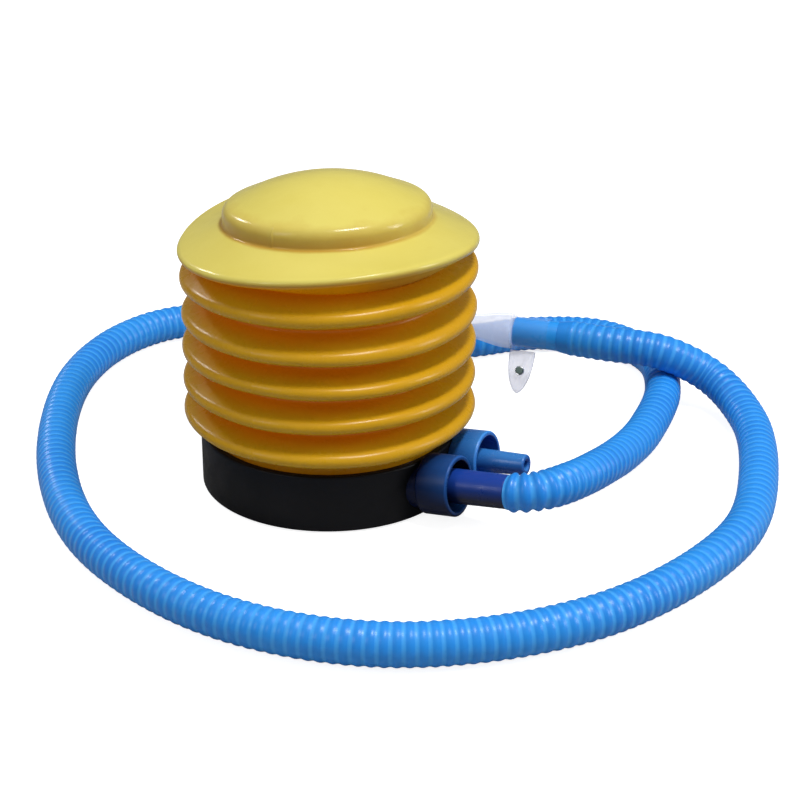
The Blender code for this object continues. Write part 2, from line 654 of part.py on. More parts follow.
def build_tab():
    """Flat tab with a plug through its hole."""
    across = Vector((-END_DIR.y, END_DIR.x, 0.0))
    droop = math.radians(TAB_DROOP)
    hang = across * math.cos(droop) - Vector((0, 0, 1)) * math.sin(droop)
    pivot = Vector(END_POINT) + END_DIR * TAB_STATION + hang * TAB_OFFSET
    axes = Matrix((END_DIR, -hang, END_DIR.cross(-hang))).transposed()
    placement = Matrix.Translation(pivot * MM) @ axes.to_4x4()

    curve = bpy.data.curves.new("nozzle_tab", "CURVE")
    curve.dimensions = "2D"
    curve.fill_mode = "BOTH"
    curve.extrude = TAB_T / 2 * MM
    add_loop(curve, tab_outline())
    hole = [polar(TAB_HOLE_R, 360 / TAB_HOLE_POINTS * i) for i in range(TAB_HOLE_POINTS)]
    add_loop(curve, [(x, y - TAB_HOLE) for x, y in hole])
    mesh = to_mesh(add("nozzle_tab_outline", curve, CLEAR), "nozzle_tab")
    # the filled faces and the extruded edge come unjoined
    bm = bmesh.new()
    bm.from_mesh(mesh)
    bmesh.ops.remove_doubles(bm, verts=bm.verts, dist=0.00001)
    bm.to_mesh(mesh)
    bm.free()
    tab = add("nozzle_tab", mesh, CLEAR)
    tab.matrix_world = placement

    plug = turned("tab_plug", [
        (0, 1.7), (1.3, 1.7), (1.6, 1.4), (1.6, -1.4), (1.3, -1.7), (0, -1.7)],
        steps=16, mat=GREY_GREEN)
    plug.matrix_world = placement @ Matrix.Translation(Vector((0, -TAB_HOLE, 0)) * MM)


# ---- assembly ---------------------------------------------------------------
build_base_cup()
build_base_plate()
build_feet()
build_screws()
build_bellows()
build_pedal()
build_spring()
build_outlet()
build_intake()
build_hose()
build_nozzle()
build_tab()

for part in parts.objects:
    if part.type == "MESH":
        part.data.shade_smooth()
        part.data.set_sharp_from_angle(angle=math.radians(35))
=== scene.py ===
"""Foot-operated ball inflation pump: base cup, folded bellows, domed pedal, two ports, long hose.

The pump stands on the floor with its axis on +Z.  The two ports leave the base side by side
towards +X.  The hose starts at the outlet port (-Y side), lies round the pump and ends in a clear
nozzle sleeve behind it.  Lengths are in millimetres unless a comment says metres; meshes are
built in metres.
"""
import math

import bmesh
import bpy
import numpy as np
from mathutils import Matrix, Vector


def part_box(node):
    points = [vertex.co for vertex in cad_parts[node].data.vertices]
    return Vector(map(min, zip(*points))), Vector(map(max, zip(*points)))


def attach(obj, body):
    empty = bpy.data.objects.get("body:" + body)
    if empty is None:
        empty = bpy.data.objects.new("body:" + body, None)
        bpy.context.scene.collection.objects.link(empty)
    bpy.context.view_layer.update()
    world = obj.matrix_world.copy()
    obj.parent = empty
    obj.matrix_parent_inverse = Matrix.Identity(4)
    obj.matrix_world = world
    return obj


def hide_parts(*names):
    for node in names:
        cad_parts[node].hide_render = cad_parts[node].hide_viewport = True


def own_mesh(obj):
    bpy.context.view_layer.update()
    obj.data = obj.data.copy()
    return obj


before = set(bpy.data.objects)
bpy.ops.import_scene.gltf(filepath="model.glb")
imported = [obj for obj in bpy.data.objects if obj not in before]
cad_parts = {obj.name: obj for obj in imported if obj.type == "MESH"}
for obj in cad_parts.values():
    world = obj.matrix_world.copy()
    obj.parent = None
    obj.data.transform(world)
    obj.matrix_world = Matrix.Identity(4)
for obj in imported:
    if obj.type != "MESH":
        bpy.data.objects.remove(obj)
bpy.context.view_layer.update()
MM = 0.001

# ---------------------------------------------------------------------------
# shared dimensions, read from the frame where it holds them
# ---------------------------------------------------------------------------
BASE_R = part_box("base_cup")[1].y / MM
BASE_BOTTOM, BASE_TOP = 0.6, 22.7
SEAM_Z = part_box("bellows")[1].z / MM            # where the bellows meets the pedal
PEDAL_GAP = 0.3
PEDAL_FOOT_Z = SEAM_Z + PEDAL_GAP
DOME_TOP_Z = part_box("pedal_top")[1].z / MM

SCREW_CIRCLE, FOOT_CIRCLE, VENT_CIRCLE = 36, 37, 33     # radii round the pump's axis

# the ports point outwards and slightly up; their own +Z is the way out
PORT_X, PORT_Y, PORT_Z = 61.3, 12.1, 14.8
PORT_TILT = math.radians(7.2)
PORT_AXIS = np.array((math.cos(PORT_TILT), 0.0, math.sin(PORT_TILT)))
PORT_TURN = Matrix.Rotation(math.pi / 2 - PORT_TILT, 4, "Y")
SPIGOT_OUT = 16.0
CUFF_END = 20.2

# free end of the hose; the nozzle's own +Z runs along END_DIR
END_POINT = np.array((44.0, 117.0, 24.3))
END_HEADING = math.radians(190.0)
END_DIR = np.array((math.cos(END_HEADING), math.sin(END_HEADING), 0.0))
END_TURN = Matrix.Rotation(END_HEADING, 4, "Z") @ Matrix.Rotation(math.pi / 2, 4, "Y")
END_CUFF_LEN = 19.2

SPRING_LOW, SPRING_HIGH = 22.9, 103.0
VIEW_TURN = math.radians(30.34)                 # heading of the view round the pump


def port_origin(side):
    return np.array((PORT_X, side * PORT_Y, PORT_Z))


def placed(turn, origin):
    return Matrix.Translation(Vector(origin)) @ turn


def on_circle(radius, degrees, z=0.0):
    angle = math.radians(degrees)
    return Matrix.Translation((radius * math.cos(angle), radius * math.sin(angle), z))


# ---------------------------------------------------------------------------
# outlines
# ---------------------------------------------------------------------------
def fillet(rows, seg, closed=False):
    """Outline from rows (x, y, corner radius); a radius of 0 keeps the corner."""
    points = [np.array(row[:2], float) for row in rows]
    count = len(points)
    out = []
    for i, corner in enumerate(points):
        radius = rows[i][2]
        if radius <= 0 or (not closed and i in (0, count - 1)):
            out.append(corner)
            continue
        back, ahead = points[i - 1] - corner, points[(i + 1) % count] - corner
        back_len, ahead_len = np.linalg.norm(back), np.linalg.norm(ahead)
        back, ahead = back / back_len, ahead / ahead_len
        half = math.acos(float(np.clip(back @ ahead, -1, 1))) / 2
        if half > math.radians(88.5):           # nearly straight: nothing to round
            out.append(corner)
            continue
        cut = min(radius / math.tan(half), 0.49 * back_len, 0.49 * ahead_len)
        fitted = cut * math.tan(half)
        middle = back + ahead
        centre = corner + middle / np.linalg.norm(middle) * (fitted / math.sin(half))
        first, last = corner + back * cut - centre, corner + ahead * cut - centre
        sign = 1.0 if first[0] * last[1] - first[1] * last[0] > 0 else -1.0
        sweep = math.pi - 2 * half
        for k in range(seg + 1):
            angle = sign * sweep * k / seg
            cos, sin = math.cos(angle), math.sin(angle)
            out.append(centre + np.array((first[0] * cos - first[1] * sin,
                                          first[0] * sin + first[1] * cos)))
    return np.array(out)


def densify(points, step, closed=False):
    """Adds points along the runs longer than step."""
    points = [np.array(p, float) for p in points]
    count = len(points)
    out = []
    for i in range(count if closed else count - 1):
        start, end = points[i], points[(i + 1) % count]
        parts = max(1, int(math.ceil(np.linalg.norm(end - start) / step)))
        for j in range(parts):
            out.append(start + (end - start) * j / parts)
    if not closed:
        out.append(points[-1])
    return np.array(out)


# ---------------------------------------------------------------------------
# meshes
# ---------------------------------------------------------------------------
def link_object(name, data):
    ob = bpy.data.objects.new(name, data)
    bpy.context.scene.collection.objects.link(ob)
    return ob


def add_attribute(mesh, name, values):
    attribute = mesh.attributes.new(name, "FLOAT", "POINT")
    attribute.data.foreach_set("value", np.asarray(values, np.float32))


def vertex_positions(ob):
    """Vertex positions in millimetres."""
    return np.array([v.co for v in ob.data.vertices], float) / MM


def build(name, verts, faces, mat, sharp, attr=None):
    """Object from vertices in millimetres, faces turned outwards.  attr is (name, values)."""
    mesh = bpy.data.meshes.new(name)
    mesh.from_pydata([tuple(v) for v in np.asarray(verts, float) * MM], [], faces)
    bm = bmesh.new()
    bm.from_mesh(mesh)
    if bm.calc_volume(signed=True) < 0:
        bmesh.ops.reverse_faces(bm, faces=bm.faces)
    bm.to_mesh(mesh)
    bm.free()
    if attr is not None:
        add_attribute(mesh, *attr)
    mesh.materials.append(mat)
    mesh.shade_smooth()
    mesh.set_sharp_from_angle(angle=math.radians(sharp))
    return link_object(name, mesh)


def lathe(profile, angles, closed):
    """Vertices, rings of vertex numbers and faces of a turned profile (radius, z)."""
    count = len(angles)
    verts, rings = [], []
    for r, z in profile:
        if abs(r) < 1e-6:                       # on the axis: one vertex for the whole ring
            rings.append([len(verts)] * count)
            verts.append((0.0, 0.0, z))
        else:
            rings.append(list(range(len(verts), len(verts) + count)))
            verts.extend((r * math.cos(a), r * math.sin(a), z) for a in angles)
    faces = []
    for i in range(len(rings) if closed else len(rings) - 1):
        ring, below = rings[i], rings[(i + 1) % len(rings)]
        for j in range(count):
            k = (j + 1) % count
            face = [ring[j], below[j], below[k], ring[k]]
            face = [v for q, v in enumerate(face) if v != face[q - 1]]
            if len(face) > 2:
                faces.append(face)
    return np.array(verts, float), rings, faces


def turned(name, profile, mat, steps=None, closed=False, place=None, angles=None, warp=None,
           sharp=35, attr=None):
    """Turned piece, with even steps or the given angles.  attr is (name, value per row)."""
    if angles is None:
        angles = [2 * math.pi * k / steps for k in range(steps)]
    verts, rings, faces = lathe(profile, angles, closed)
    if warp is not None:
        verts = warp(verts)
    if attr is not None:
        values = np.zeros(len(verts))
        for ring, value in zip(rings, attr[1]):
            values[ring] = value
        attr = (attr[0], values)
    if place is not None:
        matrix = np.array(place, float)
        verts = verts @ matrix[:3, :3].T + matrix[:3, 3]
    return build(name, verts, faces, mat, sharp, attr)


def tube_faces(rings, count, first=0):
    """Quads between successive rings of count vertices."""
    faces = []
    for i in range(rings - 1):
        ring, above = first + i * count, first + (i + 1) * count
        for j in range(count):
            k = (j + 1) % count
            faces.append((ring + j, ring + k, above + k, above + j))
    return faces


def rod(name, radius, low, high, steps, place=None):
    """Plain cylinder for Booleans."""
    profile = [(0, high), (radius, high), (radius, low), (0, low)]
    return turned(name, profile, CUTTER, steps, place=place)


def block(name, size, place):
    """Plain box for Booleans."""
    mesh = bpy.data.meshes.new(name)
    bm = bmesh.new()
    bmesh.ops.create_cube(bm, size=1.0)
    bmesh.ops.scale(bm, vec=Vector(size) * MM, verts=bm.verts)
    matrix = Matrix(place)
    matrix.translation = matrix.translation * MM
    bmesh.ops.transform(bm, matrix=matrix, verts=bm.verts)
    bm.to_mesh(mesh)
    bm.free()
    return link_object(name, mesh)


def carve(ob, steps):
    """Applies (other object, operation) Booleans in order and removes the other objects."""
    for other, operation in steps:
        mod = ob.modifiers.new("carve", "BOOLEAN")
        mod.solver = "EXACT"
        mod.operation = operation
        mod.object = other
    bpy.context.view_layer.update()
    depsgraph = bpy.context.evaluated_depsgraph_get()
    mesh = bpy.data.meshes.new_from_object(ob.evaluated_get(depsgraph))
    old = ob.data
    mat = old.materials[0]
    ob.modifiers.clear()
    ob.data = mesh
    mesh.materials.clear()
    mesh.materials.append(mat)
    for polygon in mesh.polygons:
        polygon.material_index = 0
    bpy.data.meshes.remove(old)
    for other, _ in steps:
        bpy.data.objects.remove(other, do_unlink=True)
    # weld the slivers the Booleans leave (distances in metres)
    bm = bmesh.new()
    bm.from_mesh(mesh)
    bmesh.ops.remove_doubles(bm, verts=bm.verts, dist=2e-6)
    bmesh.ops.dissolve_degenerate(bm, edges=bm.edges, dist=1e-6)
    bm.to_mesh(mesh)
    bm.free()
    mesh.shade_smooth()
    mesh.set_sharp_from_angle(angle=math.radians(32))
    return ob


# ---------------------------------------------------------------------------
# node trees
# ---------------------------------------------------------------------------
class Tree:
    """Short way to write the node tree of a material or a world."""

    def __init__(self, owner):
        owner.use_nodes = True
        self.nodes = owner.node_tree.nodes
        self.links = owner.node_tree.links

    def new(self, kind):
        return self.nodes.new("ShaderNode" + kind)

    def put(self, socket, value):
        """Links an output to the socket, or sets the socket's value."""
        if isinstance(value, bpy.types.NodeSocket):
            self.links.new(value, socket)
        elif socket.type == "RGBA":
            socket.default_value = (*value, 1.0)
        else:
            socket.default_value = value

    def feed(self, node, **values):
        """Fills inputs by name; an underscore stands for a space."""
        for key, value in values.items():
            self.put(node.inputs[key.replace("_", " ")], value)

    def ramp(self, value, span, to=(0.0, 1.0)):
        """Maps the span of values to another, clamped."""
        node = self.new("MapRange")
        self.feed(node, Value=value, From_Min=span[0], From_Max=span[1],
                  To_Min=to[0], To_Max=to[1])
        return node.outputs["Result"]

    def geometry_z(self, output):
        """Vertical part of a direction from the Geometry node."""
        split = self.new("SeparateXYZ")
        self.put(split.inputs[0], self.new("NewGeometry").outputs[output])
        return split.outputs["Z"]


class Material(Tree):
    """Material whose textures are laid out in object coordinates (metres)."""

    def __init__(self, name):
        self.mat = bpy.data.materials.new(name)
        super().__init__(self.mat)
        self.bsdf = self.nodes["Principled BSDF"]
        self.coord = self.new("TexCoord").outputs["Object"]

    def noise(self, scale, detail=4.0, rough=0.55, stretch=None, distortion=0.0):
        vector = self.coord
        if stretch is not None:
            mapping = self.new("Mapping")
            self.feed(mapping, Scale=stretch, Vector=vector)
            vector = mapping.outputs["Vector"]
        node = self.new("TexNoise")
        self.feed(node, Scale=scale, Detail=detail, Roughness=rough, Distortion=distortion,
                  Vector=vector)
        return node.outputs["Fac"]

    def math(self, operation, first, second):
        node = self.new("Math")
        node.operation = operation
        self.put(node.inputs[0], first)
        self.put(node.inputs[1], second)
        return node.outputs[0]

    def mix(self, factor, first, second):
        node = self.new("Mix")
        node.data_type = "RGBA"
        for key, value in (("Factor", factor), ("A", first), ("B", second)):
            self.put([s for s in node.inputs if s.name == key and s.enabled][0], value)
        return [s for s in node.outputs if s.name == "Result" and s.enabled][0]

    def attribute(self, name):
        node = self.new("Attribute")
        node.attribute_name = name
        return node.outputs["Fac"]

    def facing(self, blend):
        node = self.new("LayerWeight")
        self.feed(node, Blend=blend)
        return node.outputs["Facing"]

    def bump(self, height, distance, strength, normal=None):
        node = self.new("Bump")
        self.feed(node, Distance=distance, Strength=strength, Height=height)
        if normal is not None:
            self.feed(node, Normal=normal)
        return node.outputs["Normal"]

    def finish(self, color, rough, normal, **values):
        self.feed(self.bsdf, Base_Color=color, Roughness=rough, Normal=normal, **values)
        return self.mat


# ---------------------------------------------------------------------------
# materials
# ---------------------------------------------------------------------------
def moulded(name, color, shade, tint, rough, grain=0.00002, orange_peel=0.00006, scuff=0.12,
            attribute=None, low=None, glow=None, glow_strength=0.0, glow_power=1.2, painted_under_shade=None,
            **values):
    """Moulded plastic: slow colour drift, fine grain, orange peel and hair-line scuffs.

    shade and tint are the darker and lighter drifts; rough is the roughness span; grain and
    orange_peel are bump depths in metres.  Where the attribute is 0 the colour is low, which is
    painted shade, and glow is a painted glow in that shade, standing in for light that comes
    through the wall.  The colour given for the sides that face down is painted shade as well.
    """
    m = Material(name)
    drift = m.ramp(m.noise(scale=28.0, detail=5.0, rough=0.6), span=(0.32, 0.68))
    col = m.mix(drift, shade, tint)
    col = m.mix(0.55, col, color)
    # painted shade: where the attribute is low the colour goes towards low, and the glow is a
    # painted glow in that shade
    if attribute is not None:
        shade_and_blotch = m.ramp(m.noise(scale=95.0), span=(0.3, 0.7), to=(0.96, 1.22))
        shade_and_blotch = m.math("MULTIPLY", shade_and_blotch, m.attribute(attribute))
        col = m.mix(m.ramp(shade_and_blotch, span=(0.0, 1.0)), low, col)
        if glow is not None:
            unlit_share = m.ramp(shade_and_blotch, span=(0.0, 1.0), to=(1.0, 0.0))
            glow_share = m.math("POWER", unlit_share, glow_power)
            m.feed(m.bsdf, Emission_Color=glow,
                   Emission_Strength=m.math("MULTIPLY", glow_share, glow_strength))
    # painted shade on the sides that face down
    if painted_under_shade is not None:
        col = m.mix(m.ramp(m.geometry_z("Normal"), span=(-0.35, 0.85)), painted_under_shade, col)
    speck = m.ramp(m.noise(scale=2600.0, detail=2.0, rough=0.5), span=(0.62, 0.78),
                   to=(0.0, 0.06))
    col = m.mix(speck, col, shade)
    streak = m.noise(scale=60.0, detail=8.0, rough=0.7, stretch=(1.0, 9.0, 26.0),
                     distortion=0.4)
    scratch = m.ramp(streak, span=(0.60, 0.66), to=(0.0, scuff))
    col = m.mix(scratch, col, tint)
    matt = m.ramp(m.noise(scale=140.0, detail=6.0, rough=0.6), span=(0.3, 0.7), to=rough)
    matt = m.math("ADD", matt, m.math("MULTIPLY", scratch, 0.6))
    peel = m.bump(m.noise(scale=420.0, detail=3.0, rough=0.5), distance=orange_peel,
                  strength=0.7)
    fine = m.bump(m.noise(scale=3800.0, detail=3.0, rough=0.6), distance=grain, strength=0.7,
                  normal=peel)
    return m.finish(col, matt, fine, **values)


def translucent(name, color, edge, alpha, attribute=None, haze=0.0, painted_inner_glow=0.0):
    """Soft clear plastic: milky body, thicker-looking edges, faint flow marks.

    alpha runs from the body to the edges.  Where the attribute is 1, haze is added to alpha and
    the last argument sets a painted glow that stands in for light scattered inside.
    """
    m = Material(name)
    flow = m.noise(scale=90.0, detail=5.0, rough=0.6, stretch=(3.0, 1.0, 1.0), distortion=0.8)
    edge_span = (0.35, 0.95)
    facing = m.facing(blend=0.42)
    col = m.mix(m.ramp(facing, span=edge_span), color, edge)
    col = m.mix(m.ramp(flow, span=(0.35, 0.7), to=(0.0, 0.25)), col, edge)
    cover = m.ramp(facing, span=edge_span, to=alpha)
    cover = m.math("MULTIPLY", cover, m.ramp(flow, span=(0.3, 0.7), to=(0.85, 1.15)))
    if attribute is not None:
        added = m.math("MULTIPLY", m.attribute(attribute), haze)
        cover = m.math("MINIMUM", m.math("ADD", cover, added), 0.96)
        # painted glow where the attribute is 1, standing in for light scattered inside
        m.feed(m.bsdf, Emission_Color=color,
               Emission_Strength=m.math("MULTIPLY", m.attribute(attribute), painted_inner_glow))
    rough = 0.22
    matt = m.ramp(m.noise(scale=260.0), span=(0.3, 0.7), to=(rough * 0.8, rough * 1.4))
    normal = m.bump(m.noise(scale=500.0, detail=3.0), distance=0.00002, strength=0.5)
    return m.finish(col, matt, normal, Alpha=cover, IOR=1.45, Specular_IOR_Level=0.35)


def hose_plastic():
    """Soft blue tube: deeper crests, valleys lighter as painted light coming through the wall,
    faint specks and scuffs.
    """
    m = Material("blue_hose_plastic")
    rib = m.attribute("rib")
    drift = m.ramp(m.noise(scale=22.0, detail=5.0, rough=0.6), span=(0.35, 0.65))
    crest = m.mix(drift, (0.011, 0.200, 0.690), (0.017, 0.262, 0.780))
    # painted light: the valleys are lighter, as if light came through the wall there
    col = m.mix(m.ramp(rib, span=(0.05, 0.45)), (0.050, 0.350, 0.850), crest)
    speck = m.ramp(m.noise(scale=1900.0, detail=3.0), span=(0.60, 0.75), to=(0.0, 0.14))
    col = m.mix(speck, col, (0.04, 0.33, 0.80))
    streak = m.noise(scale=75.0, detail=8.0, rough=0.75, stretch=(1.0, 4.0, 12.0),
                     distortion=0.5)
    col = m.mix(m.ramp(streak, span=(0.60, 0.68), to=(0.0, 0.14)), col, (0.08, 0.38, 0.90))
    matt = m.ramp(m.noise(scale=180.0, detail=6.0), span=(0.3, 0.7), to=(0.30, 0.40))
    normal = m.bump(m.noise(scale=520.0), distance=0.00007, strength=0.6)
    normal = m.bump(m.noise(scale=3600.0, detail=3.0), distance=0.00002, strength=0.6,
                    normal=normal)
    return m.finish(col, matt, normal, Specular_IOR_Level=0.36)


def brushed_steel():
    m = Material("spring_steel")
    brushed = m.noise(scale=900.0, detail=6.0, rough=0.7, stretch=(1.0, 1.0, 8.0))
    col = m.mix(m.ramp(brushed, span=(0.3, 0.7)), (0.42, 0.42, 0.43), (0.66, 0.66, 0.67))
    matt = m.ramp(brushed, span=(0.3, 0.7), to=(0.22, 0.42))
    normal = m.bump(brushed, distance=0.00002, strength=0.5)
    return m.finish(col, matt, normal, Metallic=1.0)


SMOOTH = dict(grain=0.00001, orange_peel=0.00003)       # finer surface of the blue mouldings

# paler lit copy of the yellow plastic for the pedal, painted light from the lamps above; low is
# its painted shade and glow a painted glow in that shade
YELLOW_LIT_TOP = moulded(
    "yellow_pedal_plastic_lit_copy", color=(0.640, 0.545, 0.118), shade=(0.605, 0.505, 0.098),
    tint=(0.675, 0.590, 0.150), rough=(0.16, 0.25), attribute="fold", low=(0.40, 0.165, 0.003),
    glow=(0.85, 0.36, 0.0), glow_strength=0.15, glow_power=7.0, scuff=0.05,
    Specular_IOR_Level=0.27)
# low is the painted shade in the valleys of the folds, and glow a painted glow in that shade
YELLOW = moulded(
    "yellow_bellows_plastic", color=(0.58, 0.305, 0.006), shade=(0.54, 0.275, 0.005),
    tint=(0.63, 0.355, 0.012), rough=(0.22, 0.34), attribute="fold", low=(0.40, 0.10, 0.001),
    glow=(0.85, 0.20, 0.0), glow_strength=0.17, scuff=0.05, Specular_IOR_Level=0.25)
BLACK = moulded(
    "black_base_plastic", color=(0.0045, 0.0045, 0.0055), shade=(0.003, 0.003, 0.0035),
    tint=(0.010, 0.010, 0.012), rough=(0.34, 0.50), grain=0.00004, scuff=0.20,
    Specular_IOR_Level=0.14)
# the outlet port's shaded copy and the intake port's lit copy of one blue plastic: painted shade
# and painted light; low and the colour for the sides that face down are painted shade too
NAVY_SHADED = moulded(
    "blue_port_plastic_shaded_copy", color=(0.022, 0.125, 0.46), shade=(0.016, 0.095, 0.38),
    tint=(0.034, 0.170, 0.56), rough=(0.26, 0.38), attribute="rim", low=(0.001, 0.004, 0.026),
    painted_under_shade=(0.001, 0.004, 0.026), scuff=0.03, Specular_IOR_Level=0.16, **SMOOTH)
NAVY_REAR_LIT = moulded(
    "blue_port_plastic_lit_copy", color=(0.045, 0.270, 0.76), shade=(0.036, 0.230, 0.68),
    tint=(0.060, 0.330, 0.84), rough=(0.22, 0.34), attribute="rim", low=(0.003, 0.026, 0.16),
    painted_under_shade=(0.008, 0.060, 0.32), scuff=0.06, Specular_IOR_Level=0.45, **SMOOTH)
# the colour for the sides that face down is painted shade
VIOLET = moulded(
    "blue_cuff_plastic", color=(0.008, 0.046, 0.31), shade=(0.007, 0.034, 0.25),
    tint=(0.016, 0.080, 0.44), rough=(0.26, 0.38), painted_under_shade=(0.002, 0.003, 0.020), scuff=0.02,
    Specular_IOR_Level=0.3, **SMOOTH)
AZURE_END = moulded(
    "blue_end_cuff_plastic", color=(0.008, 0.265, 0.80), shade=(0.007, 0.235, 0.75),
    tint=(0.022, 0.35, 0.88), rough=(0.26, 0.38), scuff=0.06)
WHITE = moulded(
    "natural_plastic", color=(0.62, 0.62, 0.59), shade=(0.52, 0.52, 0.48),
    tint=(0.72, 0.72, 0.70), rough=(0.35, 0.5))
RUBBER = moulded(
    "black_rubber", color=(0.018, 0.018, 0.018), shade=(0.012, 0.012, 0.012),
    tint=(0.035, 0.035, 0.034), rough=(0.65, 0.85), grain=0.00006, scuff=0.05)
PLUG = moulded(
    "plug_rubber", color=(0.115, 0.165, 0.150), shade=(0.090, 0.135, 0.120),
    tint=(0.150, 0.210, 0.190), rough=(0.5, 0.7), scuff=0.05)
# the sleeve's last argument is a painted glow where it is empty, standing in for light scattered
# inside
CLEAR = translucent(
    "clear_sleeve_plastic", color=(0.82, 0.86, 0.98), edge=(0.66, 0.74, 0.95),
    alpha=(0.02, 0.16), attribute="empty", haze=0.31, painted_inner_glow=0.06)
CLEAR_TAB = translucent(
    "clear_tab_plastic", color=(0.66, 0.68, 0.84), edge=(0.30, 0.30, 0.42), alpha=(0.38, 0.95))
HOSE_BLUE = hose_plastic()
STEEL = brushed_steel()
CUTTER = bpy.data.materials.new("cutter")       # carried only by the Boolean tools

# ---------------------------------------------------------------------------
# lean: the pedal sits tipped on the soft folds, raised on the right of the view
# ---------------------------------------------------------------------------
LEAN = np.array(Matrix.Rotation(VIEW_TURN, 3, "Z")
                @ Matrix.Rotation(math.radians(-1.75), 3, "Y")
                @ Matrix.Rotation(-VIEW_TURN, 3, "Z"), float)
LEAN_Z = 100.0                                  # height of the point the pedal tips about
LEAN_LOW = 24.0                                 # the folds lean from this height up
LEAN_POWER = 1.25
LEAN_UP = LEAN[:, 2]
LEAN_SLOPE = -LEAN_UP[:2] / LEAN_UP[2]


def lean_full(v):
    pivot = np.array((0, 0, LEAN_Z))
    return (v - pivot) @ LEAN.T + pivot


def lean_pedal(v):
    """Full lean, but the foot stays level so it still meets the bellows when pressed."""
    share = np.clip((v[:, 2] - SEAM_Z - PEDAL_GAP) / 5.0, 0, 1)[:, None]
    return v + (lean_full(v) - v) * share


def lean_bellows(v):
    """Lean that grows from nothing at the base to the top fold and is gone at the seam."""
    z = v[:, 2]
    rise = np.clip((z - LEAN_LOW) / (SEAM_Z + PEDAL_GAP - LEAN_LOW), 0, 1)
    share = rise ** LEAN_POWER * np.clip((PEDAL_FOOT_Z - z) / 4.0, 0, 1)
    out = v.copy()
    out[:, 2] = z + share * (v[:, 0] * LEAN_SLOPE[0] + v[:, 1] * LEAN_SLOPE[1])
    shift = (PEDAL_FOOT_Z - LEAN_Z) * share
    out[:, 0] += LEAN_UP[0] * shift
    out[:, 1] += LEAN_UP[1] * shift
    return out


# ---------------------------------------------------------------------------
# parting line of the mould, in the plane x = 0
# ---------------------------------------------------------------------------
LINE_WIDTH = 0.62


def seam_angles(count, radius):
    """Even angles, with extra ones close to the parting line."""
    centres = (math.pi / 2, 3 * math.pi / 2)
    offsets = (-1.6, -1.0, -0.7, -0.45, -0.22, 0.22, 0.45, 0.7, 1.0, 1.6)   # in line widths
    extra = [c + s * LINE_WIDTH / radius for c in centres for s in offsets]
    even = [2 * math.pi * k / count for k in range(count)]
    keep = [a for a in even if any(abs(a - c) < 1e-6 for c in centres)
            or all(abs(a - e) > 0.004 for e in extra)]
    return sorted(keep + extra)


def parting(v, height):
    """Raises the fine line where the two mould halves met."""
    out = v.copy()
    r = np.hypot(v[:, 0], v[:, 1])
    ridge = height * np.exp(-(v[:, 0] / (LINE_WIDTH * 0.55)) ** 2)
    ridge = ridge * np.clip((r - 12.0) / 10.0, 0, 1)
    scale = np.where(r > 1e-6, 1 + ridge / np.maximum(r, 1e-6), 1)
    out[:, 0] *= scale
    out[:, 1] *= scale
    return out


# ---------------------------------------------------------------------------
# bellows
# ---------------------------------------------------------------------------
RIDGE_R, VALLEY_R = 55.0, 45.0
RIDGE_1_Z, RIDGE_PITCH, N_RIDGES = 31.2, 13.35, 5
RIDGE_FILLET, VALLEY_FILLET = 2.7, 1.0
BELLOWS_WALL = 1.3


def fold_corners():
    """Radii of the sharp corners whose fillets just touch RIDGE_R and VALLEY_R."""
    slope = math.radians(25)
    for _ in range(40):
        over = 1 / math.sin(slope) - 1
        ridge = RIDGE_R + RIDGE_FILLET * over
        valley = VALLEY_R - VALLEY_FILLET * over
        slope = math.atan((RIDGE_PITCH / 2) / (ridge - valley))
    return ridge, valley


def inner_wall(profile, thickness):
    """The same outline moved inwards across the wall."""
    along = np.gradient(profile, axis=0)
    inwards = np.stack([along[:, 1], -along[:, 0]], 1)
    inwards /= np.maximum(np.linalg.norm(inwards, axis=1, keepdims=True), 1e-9)
    return profile + inwards * thickness


def bellows_warp(v):
    angle = np.arctan2(v[:, 1], v[:, 0])
    r = np.hypot(v[:, 0], v[:, 1])
    fold = (v[:, 2] - RIDGE_1_Z) / RIDGE_PITCH
    amount = np.clip((r - 46.5) / 8.0, 0, 1)
    out = v.copy()
    # soft walls are never quite level
    wave = (0.22 * np.sin(2 * angle + 1.7 * fold + 0.6)
            + 0.12 * np.sin(5 * angle - 2.3 * fold + 1.1)
            + 0.06 * np.sin(11 * angle + 3.1 * fold))
    sag = np.interp(fold, (-0.5, 0, 1, 2, 3, 4), (0, 0, -0.6, -0.95, -1.4, 0))
    out[:, 2] += amount * wave + sag * np.clip((r - 43.5) / 3, 0, 1)
    # nor quite round
    swell = 1 + amount * (0.0016 * np.sin(3 * angle + 2.0 * fold) - 0.0012)
    out[:, 0] *= swell
    out[:, 1] *= swell
    return lean_bellows(parting(out, height=0.09))


def make_bellows():
    ridge_corner, valley_corner = fold_corners()
    # radius, z, fillet: collar at the top, folds from the top down, neck in the base
    rows = [(43.15, 97.3, 0), (43.15, 90.35, 0.3), (44.9, SEAM_Z, 0.5)]
    for k in reversed(range(N_RIDGES)):
        z = RIDGE_1_Z + k * RIDGE_PITCH
        rows.append((ridge_corner, z, RIDGE_FILLET))
        if k:
            rows.append((valley_corner, z - RIDGE_PITCH / 2, VALLEY_FILLET))
    rows += [(45.8, 25.1, 1.6), (45.8, 20.8, 0)]
    outer = densify(fillet(rows, seg=9), 1.6)
    profile = np.vstack([outer, inner_wall(outer, BELLOWS_WALL)[::-1]])
    # painted shade: 0 in the valleys, 1 on the ridges; the neck sits in the shade of the base and
    # gets a fixed painted shade
    fold = np.clip((profile[:, 0] - VALLEY_R + 0.4) / (RIDGE_R - VALLEY_R - 1.2), 0, 1)
    fold = np.where(profile[:, 1] < 26.5, 0.62, fold)
    return turned("bellows_folds", profile, YELLOW, closed=True, angles=seam_angles(192, 52.0),
                  warp=bellows_warp, sharp=60, attr=("fold", fold))


